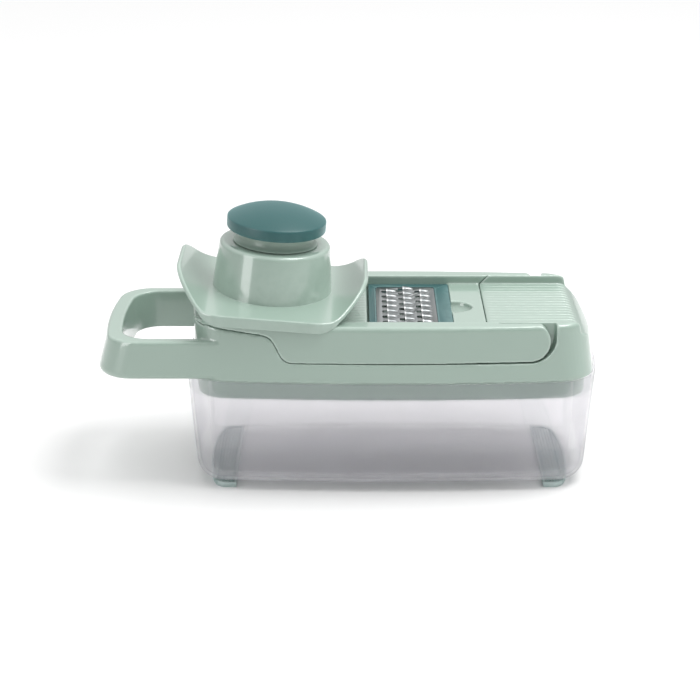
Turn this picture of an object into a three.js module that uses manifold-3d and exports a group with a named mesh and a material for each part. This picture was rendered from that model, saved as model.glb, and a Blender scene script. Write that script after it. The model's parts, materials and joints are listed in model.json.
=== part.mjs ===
// Mandoline slicer: a clear collecting tub, a base with a looped handle, a flip lid that carries
// a grater insert, and a pronged food guard that runs along the lid's rails.
// Millimetres, +Z up. The origin is on the floor under the middle of the overall box, +X runs from
// the handle to the lid's hinge, and the front side is -Y.

import * as THREE from 'three';
import { mergeVertices } from 'three/addons/utils/BufferGeometryUtils.js';
import Module from 'manifold-3d';

const wasm = await Module();
wasm.setup();

// ---------------------------------------------------------------- driving dimensions

const GAP = 0.3; // clearance between pieces that touch
const FAR = 400; // longer than the object, for cutting shapes

// plan of the body: rounded rectangles whose long sides and ends are gently bowed
const BOW_CENTRE = 30.5; // x of the widest place
const SIDE_RADIUS = 1400;
const END_RADIUS = 290;
const BOW_REACH = 144; // distance from the widest place at which the ends' bow is complete

// heights
const TUB_FLOOR = 4;
const RIM = 84; // the tub's rim, and the foot of the base
const DECK = 97.7; // top of the base's low side walls
const BED = 117.5; // the surface that food slides along
const RAIL = 124; // top of the rails either side of the bed
const HANDLE_TOP = 112;

// tub
const TUB_HALF_LENGTH = 144;
const TUB_HALF_WIDTH = 64.8;
const TUB_WALL = 2.2;
const TUB_DRAFT = 0.072; // how far each wall leans in, per millimetre down
const TUB_CORNER = 24;
const TUB_FOOT_ROUND = 12;

// foot pads
const PAD_HEIGHT = TUB_FLOOR - GAP;
const PAD_LENGTH = 20;
const PAD_HALF_WIDTH = 50;
const PAD_LEFT_EDGE = -78.5; // the pads' straight edges
const PAD_RIGHT_EDGE = 138;
const PAD_ROUND = 6;
const PAD_ARCH = 5; // how far the outer edge's middle stands out past its ends

// base
const BASE_LEFT = -108;
const BASE_RIGHT = 173.5;
const OUTSIDE_LEFT = BASE_LEFT - 5; // just past the ends, for cutting shapes
const OUTSIDE_RIGHT = BASE_RIGHT + 5;
const BASE_HALF_WIDTH = 64.4;
const BASE_CORNER = 20;
const BASE_WALL = 3;
const SIDE_DRAFT = 0.065;
const END_DRAFT = 0.16;
const SKIRT_DEPTH = 15;
const SKIRT_INSET = 6.3;
const SKIRT_WALL = 2.5;
const ENVELOPE_TOP = RAIL + 12; // above the top of the ramp
const BLOCK_CEILING = 111; // ceilings of the hollows at the handle end and at the hinge end
const END_CEILING = 96;
const END_WALL = 3.4;
const DROP_LEFT = 19; // the window that food falls through under the insert
const DROP_RIGHT = 90;
const DROP_HALF_WIDTH = 47;
const WINDOW_FOOT = 80;

// handle
const HANDLE_TIP = -174.5;
const HANDLE_END_BAR = 14;
const HANDLE_SIDE_BAR = 11;
const HANDLE_HALF_WIDTH = 58.5;
const HANDLE_CORNER = 20;
const HANDLE_SIDE_LEAN = 0.04;
const HANDLE_END_LEAN = 0.24; // how far the end leans in, per millimetre up
const HANDLE_FOOT_ROUND = 3;
const HANDLE_TOP_ROUND = 2;
const HOLE_SHIFT = 5; // makes up for the end's lean at the opening
const HOLE_FLARE = 2;

// channel between the rails
const CHANNEL = 48.8; // half-width of the bed
const CORE = 50.2; // half-width of the base's part between the lid's arms
const CORE_INSIDE = 46.4; // half-width of the hollow under that part
const PLATE = 2.6; // moulded wall thickness of the lid and the bed
const RAMP_START = -42.5; // the rails and the bed ramp up to the left of here
const RAMP = 0.127; // rise per millimetre
const SEAM_GAP = 0.4; // between the lid and the base
const SEAM_TONGUE = -55; // the lid's tongue rests on the base to the left of here
const SEAM_TOP = 124.9; // the tongue's seam at the handle end
const SEAM_SHOULDER = 116.6; // and where its slope ends, above the S-shaped step
const UPPER_TURN = 4;
const LOWER_TURN = 5;
const STEP_X = -41;
const BED_SEAM = 96.1; // where the lid's bed ends and the fixed bed begins
const END_SLOPE_START = 154; // the fixed bed curves down to the right of here
const END_SLOPE_LENGTH = 24;
const END_SLOPE_DROP = 11;
const END_ROUND_START = 160; // and so do the tops of its rails from here
const END_ROUND_LENGTH = 12;
const END_ROUND_DROP = 10;

// hinge
const HINGE_X = 124.5;
const HINGE_Z = 112;
const ARM_RADIUS = 13.7;
const NOTCH_WALL = 142;
const PIN_RADIUS = 2.5;
const PIN_HEAD = 3.6;
const PIN_INNER_END = 44; // distance of the pins' heads from the middle
const PIN_OUTER_END = 57;

// insert
const INSERT_LEFT = 15.2;
const INSERT_RIGHT = 73.1;
const INSERT_THICKNESS = 3;
const LEDGE = 4;
const LEDGE_DEPTH = 6.2; // thickness of the lid round the insert
const SCOOP = [17, 12.5, 3.8]; // half-sizes of the finger scoop
const SCOOP_HALF_WIDTH = 15; // of the thicker bed under the scoop
const SCOOP_LENGTH = 19;
const WINDOW_MARGIN = 3;
const PLATE_LEFT = 20.5;
const PLATE_RIGHT = 62.5;
const PLATE_HALF_WIDTH = 41;
const STEEL = 0.7;
const TOOTH_COLUMNS = 3;
const COLUMN_PITCH = 12;
const ROW_PITCH = 10.6;
const TOOTH_LENGTH = 7.6;
const TOOTH_WIDTH = 6.4;
const TOOTH_HEIGHT = 2.5;
const HOLE_LENGTH = 3.5;
const HOLE_HALF_WIDTH = 2.2;
const TOOTH_OFFSET = 1.5; // from a tooth's place to its open end

// dicing grid
const GRID_LEFT = -38;
const GRID_CELL = 11.5;
const GRID_COLUMNS = 4;
const GRID_ROWS = 8;
const GRID_RIM = 4;
const GRID_SEAT_RIM = 3;
const GRID_SEAT_FOOT = 88.5;
const GRID_FOOT = 92;
const BLADE_THICKNESS = 0.8;
const BLADE_TOP = 96.5;
const BLADE_DEPTH = 7;
const STUD_SIDE = 8.4;
const STUD_FOOT = 95.2;
const STUD_PLATE = 2.6;
const STUD_MARGIN = 0.6;

// guard, in its own frame: z = 0 is the underside of its sheet
const GUARD_X = -53.5;
const GUARD_TILT = THREE.MathUtils.degToRad(4.7);
const GUARD_LIFT = 127.75; // height of the sheet's underside over GUARD_X
const SHEET = 3;
const FLAT_HALF = 42;
const GUARD_HALF_LENGTH = 64.5;
const WING_RISE = 19;
const TIP_HALF_WIDTH = 33;
const GUARD_HALF_WIDTH = 64.8;
const LIP_DROP = 5.2;
const LIP_WALL = 2;
const TOWER_FOOT = 42.5;
const TOWER_TOP = 38.8;
const TOWER_HEIGHT = 38.5;
const TOWER_WALL = 2.4;
const RIM_ROUND = 3;

// pusher, in the guard's frame
const STEM_RADIUS = 25.5;
const STEM_WALL = 2.2;
const SHOULDER_RADIUS = 28; // the stem's shoulder, which rests on top of the tower
const SHOULDER_HEIGHT = 1.5;
const PRONG_PLATE_Z = 8;
const PRONG_PLATE_THICKNESS = 3;
const PRONG_PLATE_RADIUS = 34.6;
const PRONG_LENGTH = 9;
const PRONG_RINGS = [[6, 13], [12, 27]]; // count and radius of each ring of prongs
const SCREW_RADIUS = 2;
const SCREW_HEAD = 4.2;
const SCREW_HEAD_HEIGHT = 2.4;
const SCREW_HOLE = 3;
const STEM_FLOOR = 2.5;
const SOCKET_WALL = 1.8;
const SOCKET_DEPTH = 5;
const KNOB_FOOT = 47.7;
const KNOB_RADIUS = 34.5;
const KNOB_BAND = 8;
const KNOB_DOME = 8;
const KNOB_WALL = 2.6;

// ---------------------------------------------------------------- materials

const sage = () => new THREE.MeshStandardMaterial({ color: '#a6b7ab', roughness: 0.35 });
const teal = () => new THREE.MeshStandardMaterial({ color: '#4c7f80', roughness: 0.55 });
const insertTeal = () => new THREE.MeshStandardMaterial({ color: '#5f8b88', roughness: 0.45 });
const steel = () => new THREE.MeshStandardMaterial({ color: '#8d9092', roughness: 0.3, metalness: 1 });
const padRubber = () => new THREE.MeshStandardMaterial({ color: '#a4b0ab', roughness: 0.6 });
const clear = () =>
  new THREE.MeshStandardMaterial({ color: '#e8ecec', roughness: 0.1, transparent: true, opacity: 0.3 });

// ---------------------------------------------------------------- solids

// A closed geometry as a manifold solid.
function solid(geometry) {
  const bare = geometry.clone();
  bare.deleteAttribute('normal');
  bare.deleteAttribute('uv');
  const merged = mergeVertices(bare, 1e-4);
  const triVerts = new Uint32Array(merged.index.array);
  const vertProperties = new Float32Array(merged.attributes.position.array);
  return new wasm.Manifold(new wasm.Mesh({ numProp: 3, vertProperties, triVerts }));
}

// A manifold solid as a geometry.
function geometryOf(shape) {
  const mesh = shape.getMesh();
  const geometry = new THREE.BufferGeometry();
  geometry.setAttribute('position', new THREE.BufferAttribute(mesh.vertProperties, 3));
  geometry.setIndex(new THREE.BufferAttribute(mesh.triVerts, 1));
  geometry.computeVertexNormals();
  return geometry;
}

const joined = (shapes) => shapes.reduce((whole, shape) => whole.add(shape));

// An upright or lying box between two corners.
function block([x0, y0, z0], [x1, y1, z1]) {
  const box = new THREE.BoxGeometry(x1 - x0, y1 - y0, z1 - z0);
  return solid(box.translate((x0 + x1) / 2, (y0 + y1) / 2, (z0 + z1) / 2));
}

// A profile drawn in XZ, drawn out along Y from y0 to y1.
function drawnAlongY(points, y0, y1) {
  const shape = new THREE.Shape(points.map(([x, z]) => new THREE.Vector2(x, z)));
  const geometry = new THREE.ExtrudeGeometry(shape, { depth: y1 - y0, bevelEnabled: false });
  return solid(geometry.rotateX(Math.PI / 2).translate(0, y1, 0));
}

// A profile drawn in XY, drawn out along Z from z0 to z1.
function drawnAlongZ(points, z0, z1) {
  const shape = new THREE.Shape(points.map(([x, y]) => new THREE.Vector2(x, y)));
  const geometry = new THREE.ExtrudeGeometry(shape, { depth: z1 - z0, bevelEnabled: false });
  return solid(geometry.translate(0, 0, z0));
}

// The same shape on the front and on the back side.
function bothSides(shape) {
  return shape.add(shape.mirror([0, 1, 0]));
}

// Points of an arc round (cx, cy), from one angle to another in degrees.
function arc(cx, cy, radius, from, to, steps) {
  return Array.from({ length: steps + 1 }, (_, i) => {
    const angle = THREE.MathUtils.degToRad(from + ((to - from) * i) / steps);
    return [cx + radius * Math.cos(angle), cy + radius * Math.sin(angle)];
  });
}

// The bow of the body's plan: it draws the long sides in towards the ends, and the ends in
// towards the sides.
function bowed([x, y]) {
  const along = THREE.MathUtils.clamp((x - BOW_CENTRE) / BOW_REACH, -1, 1);
  const sideBow = (x - BOW_CENTRE) ** 2 / (2 * SIDE_RADIUS * TUB_HALF_WIDTH);
  const endBow = (y ** 2 / (2 * END_RADIUS)) * along ** 3;
  return [x - endBow, y * (1 - sideBow)];
}

// A rounded rectangle with points along its sides, bowed like the body.
function outline({ left, right, half, corner }, inset = 0) {
  const x0 = left + inset;
  const x1 = right - inset;
  const h = half - inset;
  const r = Math.max(corner - inset, 1);
  const turns = [
    [x1 - r, -h + r, -90],
    [x1 - r, h - r, 0],
    [x0 + r, h - r, 90],
    [x0 + r, -h + r, 180],
  ];
  const points = [];
  turns.forEach(([cx, cy, from], i) => {
    points.push(...arc(cx, cy, r, from, from + 90, 5));
    const start = points.at(-1);
    const [nx, ny, angle] = turns[(i + 1) % 4];
    const [end] = arc(nx, ny, r, angle, angle, 1);
    const pieces = i % 2 ? 10 : 4;
    for (let k = 1; k < pieces; k += 1) {
      const t = k / pieces;
      points.push([start[0] + (end[0] - start[0]) * t, start[1] + (end[1] - start[1]) * t]);
    }
  });
  return points.map(bowed);
}

// A closed solid through level rings with equal numbers of points; the first and the last ring
// are closed with flat caps.
function loft(rings) {
  const count = rings[0].points.length;
  const positions = rings.flatMap(({ points, z }) => points.flatMap(([x, y]) => [x, y, z]));
  const index = [];
  for (let ring = 0; ring < rings.length - 1; ring += 1) {
    for (let i = 0; i < count; i += 1) {
      const a = ring * count + i;
      const b = ring * count + ((i + 1) % count);
      index.push(a, b, b + count, a, b + count, a + count);
    }
  }
  const cap = (ring, flip) => {
    const flat = rings[ring].points.map(([x, y]) => new THREE.Vector2(x, y));
    for (const [a, b, c] of THREE.ShapeUtils.triangulateShape(flat, [])) {
      const base = ring * count;
      index.push(base + a, base + (flip ? c : b), base + (flip ? b : c));
    }
  };
  cap(0, true);
  cap(rings.length - 1, false);
  const geometry = new THREE.BufferGeometry();
  geometry.setAttribute('position', new THREE.Float32BufferAttribute(positions, 3));
  geometry.setIndex(index);
  return solid(geometry);
}

// A turned solid round +Z from [radius, z] points; it closes on the axis or on itself.
function turned(points, segments = 40) {
  const profile = points.map(([r, z]) => new THREE.Vector2(r, z));
  return solid(new THREE.LatheGeometry(profile, segments).rotateX(Math.PI / 2));
}

// A round bar along Y.
function barAlongY(x, z, radius, y0, y1) {
  const bar = new THREE.CylinderGeometry(radius, radius, y1 - y0, 24);
  return solid(bar.translate(x, (y0 + y1) / 2, z));
}

// ---------------------------------------------------------------- the tub

// The tub's plan at a height, drawn in by the draft of its walls.
function tubRing(z, inset = 0) {
  const plan = {
    left: BOW_CENTRE - TUB_HALF_LENGTH,
    right: BOW_CENTRE + TUB_HALF_LENGTH,
    half: TUB_HALF_WIDTH,
    corner: TUB_CORNER,
  };
  return { points: outline(plan, inset + (RIM - GAP - z) * TUB_DRAFT), z };
}

// The rounded foot of a tub wall, as rings from the flat floor up to the wall.
function tubFoot(floor, inset, radius) {
  return [0, 30, 60, 90].map((degrees) => {
    const angle = THREE.MathUtils.degToRad(degrees);
    const drawnIn = radius * (1 - Math.sin(angle));
    return tubRing(floor + radius * (1 - Math.cos(angle)), inset + drawnIn);
  });
}

function container() {
  const top = RIM - GAP;
  const outside = loft([...tubFoot(TUB_FLOOR, 0, TUB_FOOT_ROUND), tubRing(top)]);
  const insideRound = TUB_FOOT_ROUND - TUB_WALL + 0.2;
  const foot = tubFoot(TUB_FLOOR + TUB_WALL, TUB_WALL, insideRound);
  const inside = loft([...foot, tubRing(top + 1, TUB_WALL)]);
  return outside.subtract(inside);
}

// A D-shaped pad across the tub's floor: straight on the inner edge, arched on the outer one.
function footPad(edge, side) {
  const outer = edge + side * PAD_LENGTH;
  const plan = [
    [edge, -PAD_HALF_WIDTH],
    [edge + side * PAD_ROUND, -PAD_HALF_WIDTH],
    ...Array.from({ length: 9 }, (_, i) => {
      const across = -1 + i / 4;
      return [outer - side * PAD_ARCH * across ** 2, across * (PAD_HALF_WIDTH - PAD_ROUND / 2)];
    }),
    [edge + side * PAD_ROUND, PAD_HALF_WIDTH],
    [edge, PAD_HALF_WIDTH],
  ];
  return drawnAlongZ(plan, 0, PAD_HEIGHT);
}

// ---------------------------------------------------------------- base and lid: shared shapes

// The plan of the base and the lid at a height.
function bodyRing(z, inset = 0) {
  const up = z - RIM;
  const plan = {
    left: BASE_LEFT,
    right: BASE_RIGHT - up * END_DRAFT,
    half: BASE_HALF_WIDTH - up * SIDE_DRAFT,
    corner: BASE_CORNER,
  };
  return { points: outline(plan, inset), z };
}

const bodyEnvelope = (inset = 0) => loft([bodyRing(RIM, inset), bodyRing(ENVELOPE_TOP, inset)]);

// Height of the ramp, which rises towards the handle, over a level surface.
const ramp = (x) => Math.max(RAMP_START - x, 0) * RAMP;

// The seam between the base and the lid on the long sides, from the handle to the hinge: down
// the tongue's slope, through an S-shaped step, then level along the base's low wall.
function seam(lift) {
  const slopeTop = [OUTSIDE_LEFT, SEAM_TOP + lift];
  const slopeFoot = [SEAM_TONGUE, SEAM_SHOULDER + lift];
  const upperTurn = arc(SEAM_TONGUE, SEAM_SHOULDER - UPPER_TURN + lift, UPPER_TURN, 70, 20, 2);
  const lowerTurn = arc(STEP_X, DECK + LOWER_TURN + lift, LOWER_TURN, 200, 270, 3);
  return [slopeTop, slopeFoot, ...upperTurn, ...lowerTurn];
}

// ---------------------------------------------------------------- base

// A rounded rectangle with a bowed left end: the handle's plan is straight along its sides.
function handleOutline({ left, half, corner }, inset) {
  const x = left + inset;
  const y = half - inset;
  const r = Math.max(corner - inset, 1);
  const right = BASE_LEFT + BASE_CORNER;
  const points = [[right, -y], [right, y], ...arc(x + r, y - r, r, 90, 180, 6)];
  const across = [0.6, 0.3, 0, -0.3, -0.6].map((t) => [x, t * (y - r)]);
  points.push(...across, ...arc(x + r, -y + r, r, 180, 270, 6));
  return points.map(([px, py]) => [px === right ? px : px + py ** 2 / (2 * END_RADIUS), py]);
}

function baseHandle() {
  const foot = RIM + 0.4;
  const ring = (z, inset) => {
    const up = Math.max(z - foot - HANDLE_FOOT_ROUND, 0);
    const left = HANDLE_TIP + up * HANDLE_END_LEAN;
    const plan = { left, half: HANDLE_HALF_WIDTH, corner: HANDLE_CORNER };
    return { points: handleOutline(plan, inset + up * HANDLE_SIDE_LEAN), z };
  };
  const bar = loft([
    ring(foot, HANDLE_FOOT_ROUND),
    ring(foot + HANDLE_FOOT_ROUND, 0),
    ring(HANDLE_TOP - HANDLE_TOP_ROUND, 0),
    ring(HANDLE_TOP, HANDLE_TOP_ROUND),
  ]);
  const opening = {
    left: HANDLE_TIP + HANDLE_END_BAR + HOLE_SHIFT,
    half: HANDLE_HALF_WIDTH - HANDLE_SIDE_BAR,
    corner: HANDLE_CORNER - HANDLE_SIDE_BAR / 2,
  };
  const hole = loft([
    { points: handleOutline(opening, 0), z: RIM - 2 },
    { points: handleOutline(opening, -HOLE_FLARE), z: HANDLE_TOP + 2 },
  ]);
  const body = loft([bodyRing(RIM - 3, 1), bodyRing(HANDLE_TOP + 3, 1)]);
  return bar.subtract(hole.subtract(body));
}

// The rounded ends of the fixed rails.
const railEnd = [0, 0.4, 0.7, 1].map((t) => [
  END_ROUND_START + t * END_ROUND_LENGTH,
  RAIL - END_ROUND_DROP * t ** 2,
]);

// The base's height at its long sides, where the lid's walls and arms come down.
function baseSideProfile() {
  const notch = arc(HINGE_X, HINGE_Z, ARM_RADIUS + 1, 278, 330, 4);
  return [
    [OUTSIDE_LEFT, RIM],
    ...seam(0),
    ...notch,
    [NOTCH_WALL, HINGE_Z],
    [NOTCH_WALL, RAIL],
    ...railEnd,
    [OUTSIDE_RIGHT, RIM],
  ];
}

// The base's height between the lid's walls and arms.
function baseCoreProfile() {
  const front = BED_SEAM + SEAM_GAP;
  return [
    [OUTSIDE_LEFT, RIM],
    [OUTSIDE_LEFT, RAIL],
    [SEAM_TONGUE, RAIL],
    [SEAM_TONGUE, DECK],
    [front, DECK],
    [front, BED],
    [front + RAIL - BED, RAIL],
    ...railEnd,
    [OUTSIDE_RIGHT, RIM],
  ];
}

// The room over the left block for the plate of the lid's tongue.
function tongueRoom() {
  const left = OUTSIDE_LEFT;
  const right = SEAM_TONGUE + 12;
  const foot = BED - PLATE - SEAM_GAP;
  const profile = [[left, foot + ramp(left)], [right, foot + ramp(right)], [right, FAR], [left, FAR]];
  return drawnAlongY(profile, -CORE - 2 * SEAM_GAP, CORE + 2 * SEAM_GAP);
}

// The fixed bed's channel, with its rounded slope at the hinge end.
function fixedChannel() {
  const slope = [0, 0.35, 0.7, 1].map((t) => [
    END_SLOPE_START + t * END_SLOPE_LENGTH,
    BED - END_SLOPE_DROP * t ** 1.8,
  ]);
  const start = BED_SEAM - 5;
  const profile = [[start, BED], ...slope, [OUTSIDE_RIGHT + 1, ENVELOPE_TOP], [start, ENVELOPE_TOP]];
  return drawnAlongY(profile, -CHANNEL, CHANNEL);
}

// The hollow under the base: the space under the deck, inside the left block and the end block.
function baseHollow() {
  const inside = loft([bodyRing(RIM - 2, BASE_WALL), bodyRing(RAIL, BASE_WALL)]);
  const deck = DECK - BASE_WALL;
  const profile = [
    [-FAR, RIM - 2],
    [-FAR, BLOCK_CEILING],
    [SEAM_TONGUE - BASE_WALL, BLOCK_CEILING],
    [SEAM_TONGUE - BASE_WALL, deck],
    [BED_SEAM + END_WALL, deck],
    [BED_SEAM + END_WALL, BED - PLATE],
    [END_SLOPE_START - BASE_WALL, BED - PLATE],
    [FAR, END_CEILING],
    [FAR, RIM - 2],
  ];
  const core = drawnAlongY(profile, -CORE_INSIDE, CORE_INSIDE);
  const sides = block([-FAR, -FAR, RIM - 2], [FAR, FAR, deck]);
  return inside.intersect(core.add(sides));
}

function gridBox(margin, z0, z1) {
  const right = GRID_LEFT + GRID_COLUMNS * GRID_CELL;
  const half = (GRID_ROWS * GRID_CELL) / 2;
  return block([GRID_LEFT - margin, -half - margin, z0], [right + margin, half + margin, z1]);
}

function baseFrame() {
  const middle = block([-FAR, -CORE, 0], [FAR, CORE, FAR]);
  const sides = drawnAlongY(baseSideProfile(), -FAR, FAR).subtract(middle);
  const core = drawnAlongY(baseCoreProfile(), -CORE, CORE);
  const shell = bodyEnvelope()
    .intersect(sides.add(core))
    .subtract(joined([fixedChannel(), tongueRoom()]))
    .add(baseHandle())
    .subtract(baseHollow());
  const skirtFoot = RIM - SKIRT_DEPTH;
  const skirtInside = SKIRT_INSET + SKIRT_WALL;
  const skirt = loft([tubRing(skirtFoot, SKIRT_INSET), tubRing(RIM, SKIRT_INSET)]).subtract(
    loft([tubRing(skirtFoot - 1, skirtInside), tubRing(RIM + 1, skirtInside)]),
  );
  const floorRing = loft([bodyRing(RIM - 0.001, 0.5), bodyRing(RIM + BASE_WALL, 0.5)]).subtract(
    loft([tubRing(RIM - 1, skirtInside), tubRing(RIM + 5, skirtInside)]),
  );
  const gridSeat = gridBox(GRID_RIM + GRID_SEAT_RIM, GRID_SEAT_FOOT, DECK);
  const window = joined([
    gridBox(GRID_RIM + GAP, GRID_FOOT - GAP, RAIL),
    gridBox(1, WINDOW_FOOT, RAIL),
    block([DROP_LEFT, -DROP_HALF_WIDTH, WINDOW_FOOT], [DROP_RIGHT, DROP_HALF_WIDTH, RAIL]),
  ]);
  const bore = barAlongY(HINGE_X, HINGE_Z, PIN_RADIUS + GAP, PIN_INNER_END, CORE + 2);
  const headRoom = barAlongY(HINGE_X, HINGE_Z, PIN_HEAD + GAP, PIN_INNER_END - 0.5, CORE_INSIDE);
  const bores = bothSides(bore.add(headRoom));
  return joined([shell, skirt, floorRing, gridSeat]).subtract(window).subtract(bores);
}

function hingePin(side) {
  const shank = barAlongY(HINGE_X, HINGE_Z, PIN_RADIUS, PIN_INNER_END, PIN_OUTER_END);
  const head = barAlongY(HINGE_X, HINGE_Z, PIN_HEAD, PIN_INNER_END, CORE_INSIDE - GAP);
  const pin = shank.add(head);
  return side < 0 ? pin.mirror([0, 1, 0]) : pin;
}

// ---------------------------------------------------------------- dicing grid

function dicingFrame() {
  return gridBox(GRID_RIM, GRID_FOOT, DECK - GAP).subtract(gridBox(0, GRID_FOOT - 2, DECK + 1));
}

// A strip along X with notches from above, where the cross blades pass.
function longBlade(row) {
  const y = (row - GRID_ROWS / 2) * GRID_CELL;
  const half = BLADE_THICKNESS / 2;
  const foot = BLADE_TOP - BLADE_DEPTH;
  const right = GRID_LEFT + GRID_COLUMNS * GRID_CELL;
  const strip = block([GRID_LEFT + GAP, y - half, foot], [right - GAP, y + half, BLADE_TOP]);
  const notches = Array.from({ length: GRID_COLUMNS - 1 }, (_, i) => {
    const x = GRID_LEFT + (i + 1) * GRID_CELL;
    return block([x - half - GAP, y - 2, foot + BLADE_DEPTH / 2], [x + half + GAP, y + 2, BLADE_TOP + 1]);
  });
  return strip.subtract(joined(notches));
}

// A strip along Y with notches from below, where the long blades pass.
function crossBlade(column) {
  const x = GRID_LEFT + column * GRID_CELL;
  const half = BLADE_THICKNESS / 2;
  const foot = BLADE_TOP - BLADE_DEPTH;
  const reach = (GRID_ROWS * GRID_CELL) / 2 - GAP;
  const strip = block([x - half, -reach, foot], [x + half, reach, BLADE_TOP]);
  const notches = Array.from({ length: GRID_ROWS - 1 }, (_, i) => {
    const y = (i + 1 - GRID_ROWS / 2) * GRID_CELL;
    const top = foot + BLADE_DEPTH / 2 + GAP;
    return block([x - 2, y - half - GAP, foot - 1], [x + 2, y + half + GAP, top]);
  });
  return strip.subtract(joined(notches));
}

// The studs under the lid that push food through the dicing grid.
function pressPad() {
  const top = BED - PLATE - GAP;
  const plate = gridBox(-STUD_MARGIN, top - STUD_PLATE, top);
  const studs = [];
  for (let column = 0; column < GRID_COLUMNS; column += 1) {
    for (let row = 0; row < GRID_ROWS; row += 1) {
      const x = GRID_LEFT + (column + 0.5) * GRID_CELL;
      const y = (row + 0.5 - GRID_ROWS / 2) * GRID_CELL;
      const half = STUD_SIDE / 2;
      studs.push(block([x - half, y - half, STUD_FOOT], [x + half, y + half, top - 1]));
    }
  }
  return joined([plate, ...studs]);
}

// ---------------------------------------------------------------- lid

// The lid at its long sides: rails on top, walls and rounded arms below.
function lidSideProfile() {
  const roundEnd = arc(HINGE_X, HINGE_Z, ARM_RADIUS, 272, 418, 9);
  return [
    ...seam(SEAM_GAP).slice(1),
    ...roundEnd,
    [RAMP_START, RAIL],
    [OUTSIDE_LEFT, RAIL + ramp(OUTSIDE_LEFT)],
    [OUTSIDE_LEFT, SEAM_TOP + SEAM_GAP],
  ];
}

// A level plate that ramps up to the left, between two heights given for its level part.
function rampedPlate(z0, z1, right) {
  const left = OUTSIDE_LEFT;
  return [
    [left, z0 + ramp(left)],
    [RAMP_START, z0],
    [right, z0],
    [right, z1],
    [RAMP_START, z1],
    [left, z1 + ramp(left)],
  ];
}

// The lid's middle: the bed, and the low wall on each side up to the rail's top.
function lidCore() {
  const reach = CORE + SEAM_GAP;
  const bed = drawnAlongY(rampedPlate(BED - PLATE, BED, BED_SEAM), -reach, reach);
  const wall = rampedPlate(BED - PLATE, RAIL, BED_SEAM + RAIL - BED);
  wall[2] = [BED_SEAM, BED - PLATE];
  wall.splice(3, 0, [BED_SEAM, BED]);
  const walls = bothSides(drawnAlongY(wall, CHANNEL, reach));
  const foot = BED - LEDGE_DEPTH;
  const ledge = block([INSERT_LEFT - PLATE, -reach, foot], [INSERT_RIGHT + PLATE, reach, BED]);
  const scoopEnd = [INSERT_RIGHT + SCOOP_LENGTH, SCOOP_HALF_WIDTH, BED];
  const scoopFloor = block([INSERT_RIGHT, -SCOOP_HALF_WIDTH, foot], scoopEnd);
  return joined([bed, walls, ledge, scoopFloor]);
}

function lidFrame() {
  const reach = CORE + SEAM_GAP;
  const middle = block([-FAR, -reach, 0], [FAR, reach, FAR]);
  const sides = drawnAlongY(lidSideProfile(), -FAR, FAR).subtract(middle);
  const railInside = block([RAMP_START + 5, CORE + 1.6, 0], [BED_SEAM, FAR, RAIL - PLATE]);
  const railHollows = bothSides(railInside).intersect(bodyEnvelope(PLATE));
  const seatFoot = BED - INSERT_THICKNESS - GAP;
  const recess = block([INSERT_LEFT - GAP, -CHANNEL, seatFoot], [INSERT_RIGHT + GAP, CHANNEL, RAIL]);
  const windowHalf = CHANNEL - LEDGE;
  const window = block([INSERT_LEFT + LEDGE, -windowHalf, 0], [INSERT_RIGHT - LEDGE, windowHalf, RAIL]);
  const scoopShape = new THREE.SphereGeometry(1, 20, 12).scale(...SCOOP);
  const scoop = solid(scoopShape.translate(INSERT_RIGHT, 0, BED));
  const bores = bothSides(barAlongY(HINGE_X, HINGE_Z, PIN_RADIUS + GAP, CORE, PIN_OUTER_END + GAP));
  return sides
    .subtract(railHollows)
    .add(lidCore())
    .intersect(bodyEnvelope())
    .subtract(joined([recess, window, scoop, bores]));
}

// ---------------------------------------------------------------- grater insert

function insertFrame() {
  const top = BED;
  const foot = BED - INSERT_THICKNESS;
  const half = CHANNEL - GAP;
  const slab = block([INSERT_LEFT, -half, foot], [INSERT_RIGHT, half, top]);
  const plateBox = (margin, z) => {
    const reach = PLATE_HALF_WIDTH + margin;
    return block([PLATE_LEFT - margin, -reach, z], [PLATE_RIGHT + margin, reach, top + 1]);
  };
  return slab.subtract(plateBox(GAP, top - STEEL - GAP)).subtract(plateBox(-WINDOW_MARGIN, foot - 1));
}

// Middle points of the teeth: straight columns, the middle one offset by half a row.
function toothPlaces() {
  const places = [];
  for (let column = 0; column < TOOTH_COLUMNS; column += 1) {
    const rows = column === 1 ? 8 : 7;
    for (let row = 0; row < rows; row += 1) {
      const x = (PLATE_LEFT + PLATE_RIGHT) / 2 + (column - 1) * COLUMN_PITCH;
      places.push([x, (row - (rows - 1) / 2) * ROW_PITCH]);
    }
  }
  return places;
}

// A raised scoop: open and high on the left, sloping down into the plate on the right.
function tooth(x, y, top) {
  const wedge = [
    [x, top - 0.2],
    [x + TOOTH_LENGTH, top - 0.2],
    [x + TOOTH_LENGTH, top],
    [x + 1, top + TOOTH_HEIGHT],
    [x, top + TOOTH_HEIGHT - 0.4],
  ];
  return drawnAlongY(wedge, y - TOOTH_WIDTH / 2, y + TOOTH_WIDTH / 2);
}

function graterPlate() {
  const foot = BED - STEEL;
  const plate = block([PLATE_LEFT, -PLATE_HALF_WIDTH, foot], [PLATE_RIGHT, PLATE_HALF_WIDTH, BED]);
  const teeth = toothPlaces().map(([x, y]) => tooth(x - TOOTH_OFFSET, y, BED));
  const holes = toothPlaces().map(([x, y]) => {
    const right = x - TOOTH_OFFSET;
    const low = [right - HOLE_LENGTH, y - HOLE_HALF_WIDTH, foot - 1];
    return block(low, [right, y + HOLE_HALF_WIDTH, BED + TOOTH_HEIGHT]);
  });
  return joined([plate, ...teeth]).subtract(joined(holes));
}

// ---------------------------------------------------------------- guard

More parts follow.
